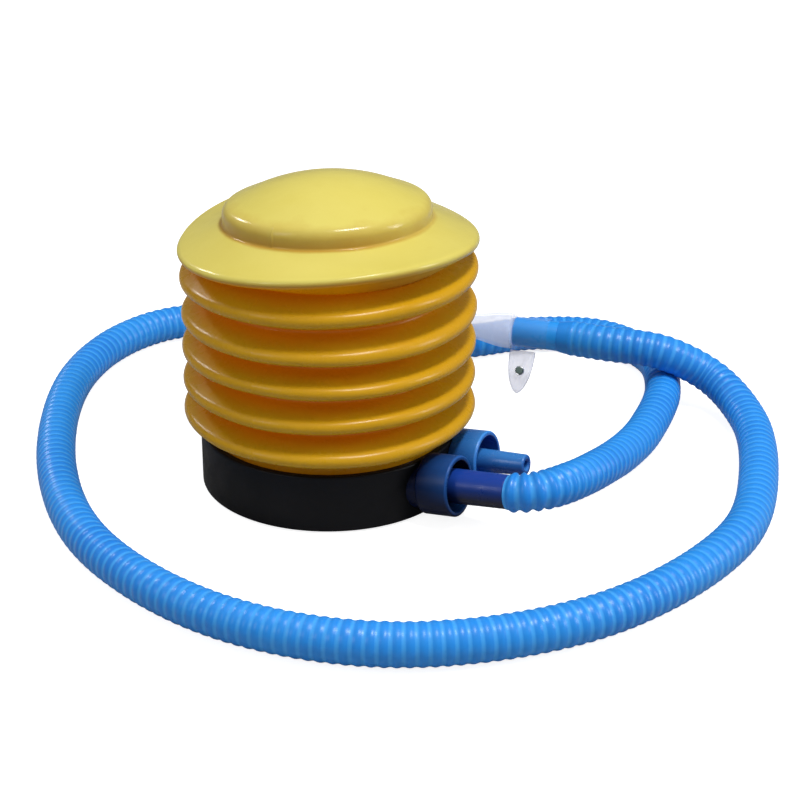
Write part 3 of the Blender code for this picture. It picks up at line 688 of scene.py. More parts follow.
# ---------------------------------------------------------------------------
# pedal: crowned dome, round rim, sloping flange, hollow underside
# ---------------------------------------------------------------------------
CROWN_DROP, CROWN_R = 9.0, 35.0                 # the crown drops this much over this radius
CROWN_WALL = 2.1
CROWN_TOP = DOME_TOP_Z - 0.2
DOME_BASE_Z = 103.9


def crown_z(r):
    return CROWN_TOP - CROWN_DROP * (r / CROWN_R) ** 2


def pedal_warp(v):
    angle = np.arctan2(v[:, 1], v[:, 0])
    seen = angle - VIEW_TURN
    r = np.hypot(v[:, 0], v[:, 1])
    z = v[:, 2]
    out = v.copy()
    # the flange sags at two sides and rises between them
    amount = np.clip((r - 39.5) / 15.8, 0, 1) * np.clip((z - SEAM_Z - PEDAL_GAP) / 4.0, 0, 1)
    out[:, 2] += amount * (-0.6 - 2.1 * np.cos(2 * seen) - 1.6 * np.sin(2 * seen)
                           + 0.30 * np.cos(3 * seen) - 0.40 * np.sin(3 * seen))
    # faint sink where the crown meets the rim
    out[:, 2] -= 0.10 * np.exp(-((r - 30.0) / 3.0) ** 2) * (z > 107.5)
    # the dome is tipped down towards the back of the view
    away = -v[:, 0] * math.sin(VIEW_TURN) + v[:, 1] * math.cos(VIEW_TURN)
    dome = np.clip((54.0 - r) / 14.0, 0, 1) * np.clip((z - 100.0) / 4.0, 0, 1)
    out[:, 2] -= 0.0314 * away * dome
    # the parting line shows mostly on the dome's wall
    wall = (np.clip((z - DOME_BASE_Z) / 0.8, 0, 1) * np.clip((111.6 - z) / 1.2, 0, 1)
            * (r > 35.0))
    line = parting(v, height=0.26) - v
    return lean_pedal(out + line * (0.12 + 0.88 * wall)[:, None])


def pedal_painted_shade(r, z):
    """Painted shade at a point of the pedal's profile, given as the value of the fold attribute
    (1 where there is none).
    """
    # painted shade on the lip and underside of the flange
    if z < 99.4 and r > 43 and (r > 53.6 or z < 97.0):      # lip and underside of the flange
        return np.clip((z - 97.0) / 1.9, 0.0, 1) * np.clip((r - 43.0) / 9.0, 0, 1)
    # painted shade on the dome wall, deepest at its foot
    if DOME_BASE_Z - 0.5 < z < 113.5 and 31.0 < r < 39.4:   # dome wall, deepest at its foot
        return 0.27 + 0.73 * np.clip((z - DOME_BASE_Z) / 9.2, 0, 1) ** 1.25
    return 1.0


def make_pedal():
    crown = [(r, crown_z(r)) for r in (0, 2, 4, 7, 10, 13, 16, 19, 22, 25, 28, 30.0)]
    # radius, z, fillet
    body = fillet([(*crown[-1], 0), (38.3, 110.1, 7.2), (38.35, DOME_BASE_Z, 0.9),
                   (58.9, 98.2, 2.0), (45.0, PEDAL_FOOT_Z, 0.35), (43.5, PEDAL_FOOT_Z, 0.3),
                   (43.5, 92.2, 0)], seg=10)
    inside = fillet([(43.5, 92.2, 0), (51.4, 96.6, 0.6), (51.4, 98.0, 0.6), (36.3, 103.0, 1.5),
                     (36.3, 107.6, 2.0), (31.0, 110.6, 0)], seg=5)[1:]
    crown_inside = [(r, crown_z(r) - CROWN_WALL) for r in (28, 24, 20, 15, 10, 5, 0)]
    profile = np.vstack([crown[:-1], densify(body, 1.6), inside, crown_inside])
    fold = [pedal_painted_shade(r, z) for r, z in profile]
    return turned("pedal_dome_and_flange", profile, YELLOW_LIT_TOP, angles=seam_angles(192, 40.0),
                  warp=pedal_warp, sharp=60, attr=("fold", fold))


# ---------------------------------------------------------------------------
# base cup, plate, feet, screws
# ---------------------------------------------------------------------------
def make_base_cup():
    # radius, z, fillet
    profile = fillet([(0, 20.5, 0), (46.2, 20.5, 0.4), (46.2, BASE_TOP, 0.5),
                      (BASE_R, BASE_TOP, 0.9), (BASE_R, BASE_BOTTOM, 1.5),
                      (47.1, BASE_BOTTOM, 0.3), (47.1, 5.2, 0.2), (45.6, 5.2, 0.2),
                      (45.6, 18.7, 0.8), (0, 18.7, 0)], seg=6)
    cup = turned("base_cup_shell", profile, BLACK, steps=144)
    quarters = [45 + 90 * i for i in range(4)]
    steps = []
    for side in (-1, 1):                        # valve sockets, trimmed to stay in the cup
        socket = rod("socket", 7.6, -29.5, -12.0, 48, placed(PORT_TURN, port_origin(side)))
        carve(socket, [(rod("trim", 47.4, 5.6, 20.2, 96), "INTERSECT")])
        steps.append((socket, "UNION"))
    for degrees in quarters:
        post = rod("post", 3.6, 3.7, 19.6, 32, on_circle(SCREW_CIRCLE, degrees))
        steps.append((post, "UNION"))
    for side in (-1, 1):
        bore = rod("bore", 5.9, -40.0, 5.0, 48, placed(PORT_TURN, port_origin(side)))
        steps.append((bore, "DIFFERENCE"))
    for degrees in quarters:
        pilot = rod("pilot", 1.6, 0.0, 14.0, 20, on_circle(SCREW_CIRCLE, degrees))
        steps.append((pilot, "DIFFERENCE"))
    for degrees in (75, 105, 165, 195, 255, 285):
        air_hole = rod("air", 3.5, 16.7, 22.5, 28, on_circle(VENT_CIRCLE, degrees))
        steps.append((air_hole, "DIFFERENCE"))
    return carve(cup, steps)


def make_base_plate():
    # radius, z, fillet
    profile = fillet([(0, 3.4, 0), (46.6, 3.4, 0.4), (46.6, BASE_BOTTOM, 0.5),
                      (9.8, BASE_BOTTOM, 0.2), (9.0, 0, 0.3), (0, 0, 0)], seg=5)
    plate = turned("base_plate_cover", profile, BLACK, steps=144)
    # radius, z of the stepped screw hole
    well_profile = [(0, 5.0), (1.7, 5.0), (1.7, 2.4), (3.3, 2.4), (3.3, -1.0), (0, -1.0)]
    steps = []
    for i in range(4):
        recess = rod("recess", 5.3, -1.0, 1.9, 48, on_circle(FOOT_CIRCLE, 90 * i))
        well = turned("well", well_profile, CUTTER, 36,
                      place=on_circle(SCREW_CIRCLE, 45 + 90 * i))
        steps += [(recess, "DIFFERENCE"), (well, "DIFFERENCE")]
    return carve(plate, steps)


def make_foot(i):
    # radius, z, fillet
    profile = fillet([(0, 1.7, 0), (5.0, 1.7, 0.3), (5.0, 0.0, 0.6), (3.4, 0.0, 0.15),
                      (3.4, 0.25, 0.1), (0, 0.25, 0)], seg=5)
    return turned(f"foot_pad_{i + 1}_moulded", profile, RUBBER, steps=64,
                  place=on_circle(FOOT_CIRCLE, 90 * i))


def make_screw(i):
    """Cross-head screw standing point up, with a coarse thread of crests and roots."""
    tip_z, crest_r, root_r, thread_pitch, head_z = 12.5, 1.40, 1.08, 1.0, 0.9
    profile = [(0, tip_z), (0.5, tip_z)]
    z = 11.6
    while z > 3.6:
        profile += [(root_r, z), (crest_r, z - 0.45), (root_r, z - 0.9)]
        z -= thread_pitch
    # radius, z, fillet
    head = fillet([(1.2, 2.6, 0), (1.4, 2.1, 0.2), (3.0, 2.1, 0.15), (3.0, 1.5, 0.35),
                   (2.2, head_z, 0.4), (0, head_z, 0)], seg=4)
    degrees = 45 + 90 * i
    screw = turned(f"base_screw_{i + 1}_threaded", profile + [tuple(p) for p in head], STEEL,
                   steps=40, place=on_circle(SCREW_CIRCLE, degrees))
    slots = []
    for k in range(2):
        turn = Matrix.Rotation(math.radians(90 * k + 45 * i), 4, "Z")
        place = on_circle(SCREW_CIRCLE, degrees, head_z) @ turn
        slots.append((block("slot", (0.8, 3.2, 1.4), place), "DIFFERENCE"))
    return carve(screw, slots)


# ---------------------------------------------------------------------------
# ports
# ---------------------------------------------------------------------------
VALVE_STEP = -25.8                              # where the port's bore widens


def port_painted_light(port, side):
    """Painted light and shade: palest, a painted highlight, at the rim's edge; painted shade
    deepest on the neck and down in the cup.
    """
    from_origin = vertex_positions(port) - port_origin(side)
    along = from_origin @ PORT_AXIS
    radial = np.linalg.norm(from_origin - along[:, None] * PORT_AXIS, axis=1)
    # painted light and shade: a faint gradient along the cup, a painted highlight on the rim's
    # edge, painted shade on the neck and inside the cup
    rim = np.clip((along + 13.5) / 13.5, 0.0, 1.0) * 0.18
    rim = rim + np.clip((along + 1.3) / 1.0, 0, 1) * 0.62
    rim = np.where((radial < 9.9) & (along < -11.0), 0.0, rim)
    rim = np.where((radial < 9.7) & (along < -0.6) & (along > -9.6), 0.06, rim)
    # the intake port gets more painted light
    if side > 0:
        rim = np.clip(rim + 0.16 * (along > -12.9), 0, 1)
    # spigot and bore get a middle painted shade
    return np.where(radial < 5.2, 0.55, rim)    # spigot and bore


def make_port(side, name, mat):
    """Tapered spigot in an open cup, back skirt, and a valve stem into the base."""
    place = placed(PORT_TURN, port_origin(side))
    # radius, z along the port, fillet
    profile = fillet([(0, SPIGOT_OUT, 0), (3.9, SPIGOT_OUT, 0.7), (4.7, -9.0, 0.9),
                      (9.6, -9.0, 0.9), (9.6, 0, 0.35), (11.3, 0, 1.3), (11.3, -12.8, 1.7),
                      (9.6, -12.8, 0.3), (9.6, -23.0, 0), (8.0, -23.0, 0), (8.0, -11.0, 0.3),
                      (0, -11.0, 0)], seg=7)
    port = turned(name, profile, mat, steps=96, place=place)
    # keep the skirt clear of the base cup
    carve(port, [(rod("clear", BASE_R + 0.3, -20.0, 40.0, 144), "DIFFERENCE")])
    stem_profile = fillet([(0, -10.2, 0), (5.6, -10.2, 0), (5.6, -19.6, 0.1), (4.6, -19.6, 0.2),
                           (4.6, -21.2, 0.2), (5.6, -21.2, 0.1), (5.6, -29.8, 0),
                           (6.3, -30.0, 0.15), (5.7, -31.5, 0.3), (0, -31.5, 0)], seg=4)
    carve(port, [(turned("stem", stem_profile, CUTTER, steps=64, place=place), "UNION")])
    bore_profile = [(0, 20.0), (5.69, 20.0), (1.8, SPIGOT_OUT - 0.69), (1.8, VALVE_STEP),
                    (4.4, VALVE_STEP), (4.4, -36.0), (0, -36.0)]
    steps = [(turned("bore", bore_profile, CUTTER, steps=48, place=place), "DIFFERENCE")]
    if side < 0:                                # crossed slots in the step of the outlet
        slot_origin = port_origin(side) + PORT_AXIS * VALVE_STEP
        for k in range(2):
            slot_place = (placed(PORT_TURN, slot_origin)
                          @ Matrix.Rotation(math.radians(90 * k), 4, "Z"))
            steps.append((block("slot", (1.6, 8.2, 3.0), slot_place), "DIFFERENCE"))
    carve(port, steps)
    add_attribute(port.data, "rim", port_painted_light(port, side))
    return port


# ---------------------------------------------------------------------------
# cuffs and nozzle sleeve
# ---------------------------------------------------------------------------
def make_hose_cuff():
    # radius, z along the port, fillet
    profile = fillet([(5.0, CUFF_END - 0.03, 0.2), (6.25, CUFF_END - 0.03, 0.5),
                      (6.4, 2.0, 2.0), (6.4, -6.0, 0.7), (5.0, -6.0, 0.3)], seg=6, closed=True)
    return turned("hose_cuff_smooth", profile, VIOLET, steps=72, closed=True,
                  place=placed(PORT_TURN, port_origin(-1)))


def make_end_cuff():
    # radius, z from the end point, fillet
    profile = fillet([(5.0, END_CUFF_LEN, 0.3), (6.1, END_CUFF_LEN, 1.2), (6.1, 10.0, 3.0),
                      (6.25, 0.03, 0.2), (5.0, 0.03, 0.2)], seg=6, closed=True)
    return turned("hose_end_cuff_smooth", profile, AZURE_END, steps=72, closed=True,
                  place=placed(END_TURN, END_POINT))


def make_sleeve():
    # radius, z from the end point, fillet: outside towards the hose, then back inside
    profile = fillet([(2.4, 50.0, 0.4), (3.6, 50.0, 0.5), (3.9, 45.0, 20.0), (5.4, 36.0, 30.0),
                      (7.2, 27.0, 9.0), (7.6, 22.5, 14.0), (7.3, 14.0, 20.0), (7.1, 4.0, 0.3),
                      (6.4, 4.0, 0.25), (6.4, 21.8, 4.0), (6.1, 26.0, 8.0), (4.3, 36.0, 20.0),
                      (2.6, 46.0, 10.0)], seg=7, closed=True)
    profile = densify(profile, 0.7, closed=True)
    # 1 where the sleeve is past the end of the cuff
    empty = np.clip((profile[:, 1] - END_CUFF_LEN + 0.6) / 1.4, 0, 1)
    return turned("nozzle_sleeve_clear", profile, CLEAR, steps=80, closed=True,
                  place=placed(END_TURN, END_POINT), sharp=50, attr=("empty", empty))


# ---------------------------------------------------------------------------
# hose
# ---------------------------------------------------------------------------
CREST_R, HOSE_VALLEY_R, HOSE_BORE_R, RIB_PITCH = 7.5, 7.1, 5.6, 4.0
END_R = 6.28                                    # where the hose runs onto the end cuff
RINGS_PER_RIB, HOSE_SEG = 8, 36
# x, y, z of the centre line from the outlet port to the end cuff
HOSE_WAYPOINTS = (
    (92.6, -6.4, 18.5), (97.2, 8, 16.8), (99, 30, 13.0), (99.5, 55, 9.4), (98, 81, 7.6),
    (90, 122, 7.6), (72, 153, 7.6), (44, 165, 7.6), (15, 152, 7.6), (-6, 130, 7.6),
    (-34, 115, 7.6), (-68, 109, 7.6), (-104, 105, 7.6), (-131, 87, 7.6), (-140, 58, 7.6),
    (-131, 12, 7.6), (-85, -60, 7.6), (-34, -103, 7.6), (30, -121, 7.6), (88, -108, 7.6),
    (137, -61, 7.6), (159, 10, 7.6), (149, 68, 7.6), (127, 116, 8.0), (107, 131, 14.0),
    (88, 124, 23.3), (64, 118.5, 24.6),
)


def between(first, second, t_first, t_second, t):
    span = t_second - t_first
    return first * ((t_second - t) / span) + second * ((t - t_first) / span)


def spline(points, steps):
    """Centripetal Catmull-Rom curve; the first and last points only steer it."""
    out = []
    for i in range(1, len(points) - 2):
        p0, p1, p2, p3 = points[i - 1:i + 3]
        t0 = 0.0
        t1 = t0 + np.linalg.norm(p1 - p0) ** 0.5
        t2 = t1 + np.linalg.norm(p2 - p1) ** 0.5
        t3 = t2 + np.linalg.norm(p3 - p2) ** 0.5
        for k in range(steps):
            t = t1 + (t2 - t1) * k / steps
            middle = between(p1, p2, t1, t2, t)
            before = between(between(p0, p1, t0, t1, t), middle, t0, t2, t)
            after = between(middle, between(p2, p3, t2, t3, t), t1, t3, t)
            out.append(between(before, after, t1, t2, t))
    out.append(points[-2])
    return out


def hose_centre():
    """Centre line in even steps, a whole number of ribs long."""
    start = port_origin(-1) + PORT_AXIS * CUFF_END
    points = ([start, start + PORT_AXIS * 4.0] + [np.array(w, float) for w in HOSE_WAYPOINTS]
              + [END_POINT - END_DIR * 6.0, END_POINT])
    dense = np.array([start] + spline(points, steps=24) + [END_POINT])
    dense[:, 2] = np.maximum(dense[:, 2], CREST_R + 0.1)
    run = np.r_[0, np.cumsum(np.linalg.norm(np.diff(dense, axis=0), axis=1))]
    rings = int(round(run[-1] / RIB_PITCH)) * RINGS_PER_RIB
    even = np.linspace(0, run[-1], rings + 1)
    line = np.stack([np.interp(even, run, dense[:, k]) for k in range(3)], 1)
    for _ in range(60):                         # ease the kinks, both ends held
        line[1:-1] = 0.25 * line[:-2] + 0.5 * line[1:-1] + 0.25 * line[2:]
    return line


def side_vectors(line):
    """Two vectors across the line at every point, carried along it without twist."""
    tangents = np.gradient(line, axis=0)
    tangents /= np.linalg.norm(tangents, axis=1, keepdims=True)
    tangents[0], tangents[-1] = PORT_AXIS, END_DIR
    side = np.cross(tangents[0], (0, 0, 1.0))
    side /= np.linalg.norm(side)
    sides = []
    for tangent in tangents:
        side = side - tangent * (side @ tangent)
        side /= np.linalg.norm(side)
        sides.append(side)
    sides = np.array(sides)
    return sides, np.cross(tangents, sides)


def hose_radii(count):
    """Outer radius at every ring, and the rib attribute (0 in the valleys, 1 on the crests)."""
    stations = np.arange(count) / RINGS_PER_RIB         # counted in ribs
    left = stations[-1] - stations
    shape = 1.0 - np.abs(np.cos(math.pi * stations)) ** 2.2
    vary = 1.0 + 0.05 * np.sin(stations * 0.37) + 0.04 * np.sin(stations * 1.13 + 1.0)
    # the ribs are deepest next to the pump and run out just before the end cuff
    crest = CREST_R - 0.30 * np.exp(-stations / 5.0)
    valley = HOSE_VALLEY_R - 0.85 * np.exp(-(stations / 9.0) ** 2)
    ribbed = np.clip((stations[-1] - 0.7 - stations) / 1.2, 0, 1)
    height = np.clip(shape * vary * ribbed + (1 - ribbed) * 0.15, 0, 1.06)
    radius = valley + (crest - valley) * height
    taper = np.clip(left / 1.6, 0, 1)
    radius = END_R + (radius - END_R) * np.sin(taper * math.pi / 2)
    radius[0] = 6.5
    return radius, np.clip(np.maximum(shape, 1 - ribbed), 0, 1)


def make_hose():
    centre = hose_centre()
    side_a, side_b = side_vectors(centre)
    theta = np.linspace(0, 2 * math.pi, HOSE_SEG, endpoint=False)
    ring = (np.cos(theta)[None, :, None] * side_a[:, None, :]
            + np.sin(theta)[None, :, None] * side_b[:, None, :])
    radius, rib = hose_radii(len(centre))
    outer = centre[:, None, :] + ring * radius[:, None, None]
    bore_rings = np.arange(0, len(centre), RINGS_PER_RIB)
    bore = centre[bore_rings][:, None, :] + ring[bore_rings] * HOSE_BORE_R
    verts = np.vstack([outer.reshape(-1, 3), bore.reshape(-1, 3)])
    verts[:, 2] = np.maximum(verts[:, 2], 0.05)
    rib = np.r_[np.repeat(rib, HOSE_SEG), np.zeros(len(bore_rings) * HOSE_SEG)]

    first_bore = len(centre) * HOSE_SEG
    last_outer = first_bore - HOSE_SEG
    last_bore = len(verts) - HOSE_SEG
    faces = tube_faces(len(centre), HOSE_SEG)
    faces += [(b, a, d, c) for a, b, c, d in tube_faces(len(bore_rings), HOSE_SEG, first_bore)]
    for j in range(HOSE_SEG):                   # annular ends
        k = (j + 1) % HOSE_SEG
        faces.append((k, j, first_bore + j, first_bore + k))
        faces.append((last_outer + j, last_outer + k, last_bore + k, last_bore + j))
    return build("hose_corrugated", verts, faces, HOSE_BLUE, sharp=70, attr=("rib", rib))


# ---------------------------------------------------------------------------
# tab that hangs beside the nozzle sleeve, and the plug in its hole
# ---------------------------------------------------------------------------
TAB_STATION, TAB_DROOP = 14.4, math.radians(60.0)
TAB_LEN, TAB_W, TAB_T, HOLE_R, HOLE_Y = 18.2, 11.0, 2.2, 1.9, -8.6
# the tab's own axes: x along the nozzle, -y down its length, z through its thickness
ACROSS = np.array((-END_DIR[1], END_DIR[0], 0.0))
HANG = ACROSS * math.cos(TAB_DROOP) - np.array((0, 0, 1.0)) * math.sin(TAB_DROOP)
TAB_PIVOT = END_POINT + END_DIR * TAB_STATION + HANG * 8.0
TAB_X, TAB_Y = END_DIR, -HANG
TAB_Z = np.cross(TAB_X, TAB_Y)


def tab_outline():
    """Straight across at the pivot, rounded at the free end."""
    half = []
    for i in range(61):
        u = math.sin(math.pi / 2 * i / 60)
        half.append((TAB_W / 2 * max(1.0 - u ** 2.4, 0.0) ** 0.62, -TAB_LEN * u))
    return densify(half + [(-x, y) for x, y in half[-2::-1]], 0.35, closed=True)


def reach(outline, angle):
    """Distance from the hole's centre to the outline in one direction."""
    ray = np.array((math.cos(angle), math.sin(angle)))
    centre = np.array((0.0, HOLE_Y))
    best = 0.0
    for i in range(len(outline)):
        start = outline[i] - centre
        edge = outline[(i + 1) % len(outline)] - centre - start
        cross = ray[0] * edge[1] - ray[1] * edge[0]
        if abs(cross) < 1e-9:
            continue
        distance = (start[0] * edge[1] - start[1] * edge[0]) / cross
        share = (start[0] * ray[1] - start[1] * ray[0]) / cross
        if distance > 0 and -1e-6 <= share <= 1 + 1e-6:
            best = max(best, distance)
    return best


def make_tab():
    angles = [2 * math.pi * k / 128 for k in range(128)]
    outline = tab_outline()
    reaches = [reach(outline, a) for a in angles]
    top = TAB_T / 2
    # inset from the outline or None, radius round the hole or None, z
    rows = [(None, HOLE_R, top - 0.15), (None, HOLE_R + 0.2, top), (-2.2, None, top - 0.25),
            (-1.5, None, top - 0.05), (-0.8, None, top), (-0.35, None, top - 0.12),
            (-0.08, None, top - 0.45), (0.0, None, 0.0)]
    rows += [(inset, fixed, -z) for inset, fixed, z in rows[-2::-1]]     # same from below
    verts = []
    for inset, fixed, z in rows:
        for angle, far in zip(angles, reaches):
            r = fixed if fixed is not None else max(far + inset, HOLE_R + 0.4)
            x, y = r * math.cos(angle), HOLE_Y + r * math.sin(angle)
            verts.append(TAB_PIVOT + TAB_X * x + TAB_Y * y + TAB_Z * z)
    faces = []
    count = len(angles)
    for i in range(len(rows)):
        ring, below = i * count, (i + 1) % len(rows) * count
        for j in range(count):
            k = (j + 1) % count
            faces.append((ring + j, below + j, below + k, ring + k))
    return build("nozzle_tab_clear", verts, faces, CLEAR_TAB, sharp=40)


def make_plug():
    # radius, z, fillet
    profile = fillet([(0, 1.7, 0), (1.6, 1.7, 0.5), (1.6, 0.9, 0), (1.6, -0.9, 0),
                      (1.6, -1.7, 0.5), (0, -1.7, 0)], seg=5)
    turn = Matrix([list(axis) for axis in (TAB_X, TAB_Y, TAB_Z)]).transposed().to_4x4()
    return turned("tab_plug_rubber", profile, PLUG, steps=48,
                  place=placed(turn, TAB_PIVOT + TAB_Y * HOLE_Y))


# ---------------------------------------------------------------------------
# return spring and the seat it pushes on
# ---------------------------------------------------------------------------
SPRING_R, WIRE_R, TURNS = 24.0, 1.1, 7
STEPS_PER_TURN, WIRE_SEG = 44, 12


def make_spring():
    low, high = SPRING_LOW + WIRE_R, SPRING_HIGH - WIRE_R
    end_rise = 2.5 * WIRE_R                     # rise of each closed end turn
    line = []
    for i in range(TURNS * STEPS_PER_TURN + 1):
        t = i / STEPS_PER_TURN
        if t <= 1:
            z = low + end_rise * t
        elif t >= TURNS - 1:
            z = high - end_rise * (TURNS - t)
        else:
            z = low + end_rise + (high - low - 2 * end_rise) * (t - 1) / (TURNS - 2)
        angle = 2 * math.pi * t
        line.append((SPRING_R * math.cos(angle), SPRING_R * math.sin(angle), z))
    line = np.array(line)
    share = np.clip((line[:, 2] - LEAN_LOW) / (SPRING_HIGH - LEAN_LOW), 0, 1) ** LEAN_POWER
    line[:, 2] += share * (line[:, 0] * LEAN_SLOPE[0] + line[:, 1] * LEAN_SLOPE[1])
    along = np.gradient(line, axis=0)
    along /= np.linalg.norm(along, axis=1, keepdims=True)
    outwards = np.stack([line[:, 0], line[:, 1], np.zeros(len(line))], 1)
    outwards /= np.linalg.norm(outwards, axis=1, keepdims=True)
    verts = []
    for centre, side_a, side_b in zip(line, outwards, np.cross(along, outwards)):
        for k in range(WIRE_SEG):
            angle = 2 * math.pi * k / WIRE_SEG
            verts.append(centre + WIRE_R * (math.cos(angle) * side_a
                                            + math.sin(angle) * side_b))
    faces = tube_faces(len(line), WIRE_SEG)
    faces.append(tuple(range(WIRE_SEG))[::-1])
    faces.append(tuple(range(len(verts) - WIRE_SEG, len(verts))))
    return build("return_spring_coil", verts, faces, STEEL, sharp=50)


def make_spring_seat():
    # radius, z, fillet: flat ring with a short collar inside the spring
    profile = fillet([(35.9, 105.2, 0.3), (35.9, 103.9, 0.2), (34.6, 103.2, 0.2),
                      (21.2, 103.2, 0.4), (21.2, 98.0, 0.4), (18.8, 98.0, 0.4),
                      (18.8, 103.2, 0.4), (9.0, 103.2, 0.3), (9.0, 105.2, 0.3)],
                     seg=4, closed=True)
    return turned("spring_seat_upper_moulded", profile, WHITE, steps=96, closed=True,
                  warp=lean_full)


# ---------------------------------------------------------------------------
# make the pieces and hang them on the CAD bodies
# ---------------------------------------------------------------------------
bellows = make_bellows()
pedal = make_pedal()
base_cup = make_base_cup()
base_plate = make_base_plate()
feet, screws = [], []
for i in range(4):
    feet.append(make_foot(i))
    screws.append(make_screw(i))
outlet_port = make_port(-1, "outlet_port_moulded", NAVY_SHADED)
intake_port = make_port(1, "intake_port_moulded", NAVY_REAR_LIT)
hose_cuff = make_hose_cuff()
end_cuff = make_end_cuff()
sleeve = make_sleeve()
hose = make_hose()
tab = make_tab()
plug = make_plug()
spring = make_spring()
seat = make_spring_seat()

# piece, CAD node it stands for, body it rides on, material slot
RIDERS = [
    (base_cup, "base_cup", "base", "black_plastic"),
    (base_plate, "base_plate", "base", "black_plastic"),
    (outlet_port, "outlet_port", "base", "blue_port"),
    (intake_port, "intake_port", "base", "blue_port"),
    (bellows, "bellows", "base", "yellow_bellows"),
    (spring, "return_spring", "base", "steel"),
    (pedal, "pedal_top", "pedal", "yellow_pedal"),
    (seat, "spring_seat_upper", "pedal", "natural_plastic"),
    (hose_cuff, "hose_cuff", "hose", "blue_cuff"),
    (hose, "hose", "hose", "blue_hose"),
    (end_cuff, "hose_end_cuff", "hose", "blue_hose"),
    (sleeve, "nozzle_sleeve", "nozzle", "clear_plastic"),
    (tab, "nozzle_tab", "tab", "clear_plastic"),
    (plug, "tab_plug", "tab", "plug_rubber"),
]
for i in range(4):
    RIDERS.append((feet[i], f"foot_pad_{i + 1}", "base", "black_rubber"))
    RIDERS.append((screws[i], f"base_screw_{i + 1}", "base", "steel"))
for piece, node, body, slot in RIDERS:
    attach(piece, body)
    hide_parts(node)

for piece, top in ((bellows, SEAM_Z + 0.15), (spring, SPRING_HIGH)):
    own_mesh(piece)


def paint_light_on_side(ob, amount):
    """Painted light: pales the folds on the right of the view, where more light comes through the
    wall.
    """
    data = ob.data.attributes["fold"].data
    fold = np.empty(len(data), np.float32)
    data.foreach_get("value", fold)
    co = vertex_positions(ob)
    right = co[:, 0] * math.cos(VIEW_TURN) + co[:, 1] * math.sin(VIEW_TURN)
    fold += (1 - fold) * amount * np.clip((right - 6.0) / 38.0, 0, 1) ** 1.4
    data.foreach_set("value", fold.astype(np.float32))


paint_light_on_side(bellows, amount=0.72)
paint_light_on_side(pedal, amount=0.60)

# the CAD nodes that stay are all inside the base and keep their shapes
INSIDE = {
    "base_gasket": RUBBER, "outlet_o_ring": RUBBER, "intake_o_ring": RUBBER,
    "outlet_valve_disc": RUBBER, "intake_valve_disc": RUBBER, "outlet_valve_seat": WHITE,
    "intake_valve_cage": WHITE, "bellows_clamp_ring": WHITE, "spring_seat_lower": WHITE,
}
for name, mat in INSIDE.items():
    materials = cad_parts[name].data.materials
    materials.clear()
    materials.append(mat)


# ---------------------------------------------------------------------------
# floor, light, camera (in metres)
# ---------------------------------------------------------------------------
def turn_view(p):
    """Point given in the view's heading (x right, y away), turned into the pump's frame."""
    c, s = math.cos(VIEW_TURN), math.sin(VIEW_TURN)
    return Vector((p[0] * c - p[1] * s, p[0] * s + p[1] * c, p[2]))


def floor_paper():
    """Paper nearly white to the camera that throws only a little light at the pump."""
    m = Material("floor_paper")
    fibre = m.noise(scale=240.0, detail=6.0, rough=0.6)
    col = m.mix(m.ramp(fibre, span=(0.35, 0.65)), (0.50, 0.50, 0.503), (0.53, 0.53, 0.533))
    m.finish(col, 0.85, m.bump(fibre, distance=0.00005, strength=0.2), Specular_IOR_Level=0.1)
    glow = m.new("Emission")
    m.feed(glow, Strength=0.88)
    glowing = m.new("AddShader")
    m.put(glowing.inputs[0], m.bsdf.outputs[0])
    m.put(glowing.inputs[1], glow.outputs[0])
    dull = m.new("BsdfDiffuse")
    m.feed(dull, Color=(0.42, 0.42, 0.42))

    def pick(factor, first, second):
        node = m.new("MixShader")
        for socket, source in zip(node.inputs, (factor, first, second)):
            m.put(socket, source)
        return node.outputs[0]

    to_camera = m.new("LightPath").outputs["Is Camera Ray"]
    paper = pick(to_camera, dull.outputs[0], glowing.outputs[0])
    # see-through from below, so the underside of the pump can be looked at
    from_below = m.new("NewGeometry").outputs["Backfacing"]
    paper = pick(from_below, paper, m.new("BsdfTransparent").outputs[0])
    m.feed(m.nodes["Material Output"], Surface=paper)
    return m.mat


def make_floor():
    """Pale floor that curves up into a wall far behind."""
    half_width, bend_y, bend_r, drop = 4.0, 2.2, 1.2, 0.00015
    profile = [(-3.0, 0.0)] + [(y, 0.0) for y in np.linspace(-1.5, bend_y, 12)]
    for k in range(1, 13):
        angle = math.pi / 2 * k / 12
        profile.append((bend_y + bend_r * math.sin(angle), bend_r - bend_r * math.cos(angle)))
    profile.append((3.4, 4.0))
    mesh = bpy.data.meshes.new("studio_floor")
    verts = [turn_view((x, y, z - drop)) for y, z in profile for x in (-half_width, half_width)]
    faces = [(2 * i, 2 * i + 1, 2 * i + 3, 2 * i + 2) for i in range(len(profile) - 1)]
    mesh.from_pydata(verts, [], faces)
    mesh.materials.append(floor_paper())
    mesh.shade_smooth()
    link_object("studio_floor", mesh)


def softbox(name, place, aim, size, power):
    """Rectangular light; place and aim are in the view's heading."""
    light = bpy.data.lights.new(name, "AREA")
    light.shape = "RECTANGLE"
    light.size, light.size_y = size
    light.energy = power
    light.color = (1, 1, 1)
    ob = link_object(name, light)
    ob.location = turn_view(place)
    ob.rotation_euler = (turn_view(aim) - ob.location).to_track_quat("-Z", "Y").to_euler()


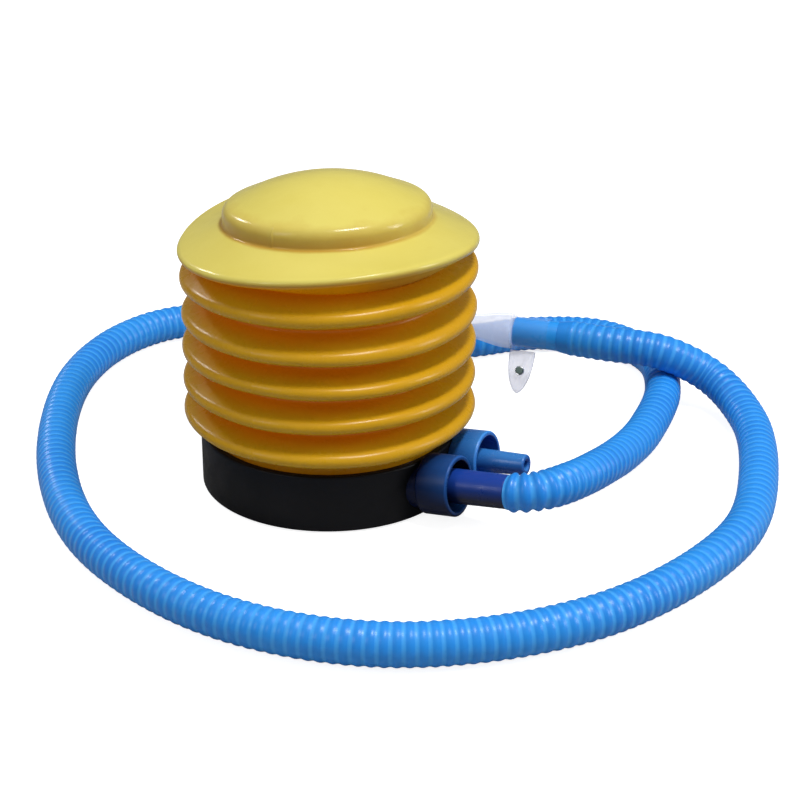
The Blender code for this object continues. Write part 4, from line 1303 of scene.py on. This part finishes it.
def make_world():
    """White room to the camera; to everything else dimmer, and darker below."""
    world = bpy.data.worlds.new("studio_world")
    bpy.context.scene.world = world
    tree = Tree(world)
    rise = tree.ramp(tree.geometry_z("Incoming"), span=(0.25, -0.85), to=(0.09, 0.50))
    level = tree.new("Mix")
    level.data_type = "FLOAT"
    tree.put(level.inputs[0], tree.new("LightPath").outputs["Is Camera Ray"])
    tree.put(level.inputs[2], rise)
    tree.put(level.inputs[3], 1.0)
    tree.feed(tree.nodes["Background"], Color=(1.0, 1.0, 1.0), Strength=level.outputs[0])


def make_camera():
    pitch, yaw, roll = 0.4214, 0.0420, 0.0060   # radians: down, to the right, rolled
    forward = Vector((math.sin(yaw) * math.cos(pitch), math.cos(yaw) * math.cos(pitch),
                      -math.sin(pitch)))
    level_right = Vector((math.cos(yaw), -math.sin(yaw), 0.0))
    level_up = level_right.cross(forward)
    right = level_right * math.cos(roll) + level_up * math.sin(roll)
    up = level_up * math.cos(roll) - level_right * math.sin(roll)
    turn = Matrix.Rotation(VIEW_TURN, 3, "Z")
    matrix = Matrix((turn @ right, turn @ up, -(turn @ forward))).transposed().to_4x4()
    matrix.translation = turn @ Vector((0.0, -0.6349718, 0.3158725))
    data = bpy.data.cameras.new("camera")
    data.sensor_width = 36.0
    data.lens = 82.2353175
    data.clip_start, data.clip_end = 0.05, 20.0
    camera = link_object("camera", data)
    camera.matrix_world = matrix
    bpy.context.scene.camera = camera


make_floor()
softbox("key_overhead", place=(0.26, -0.24, 1.12), aim=(0.0, 0.0, 0.05), size=(0.34, 0.16),
        power=8.6)
softbox("fill_front_left", place=(-1.0, -0.7, 0.80), aim=(0.0, 0.0, 0.05), size=(0.22, 0.50),
        power=2.3)
softbox("fill_right", place=(1.20, -0.22, 0.55), aim=(0.0, 0.0, 0.06), size=(0.22, 0.50),
        power=4.6)
softbox("back_left", place=(-0.85, 0.75, 0.75), aim=(0.0, 0.0, 0.08), size=(0.16, 0.16),
        power=3.2)
make_world()
make_camera()
bpy.context.scene.view_settings.view_transform = "Standard"
bpy.context.scene.view_settings.look = "None"
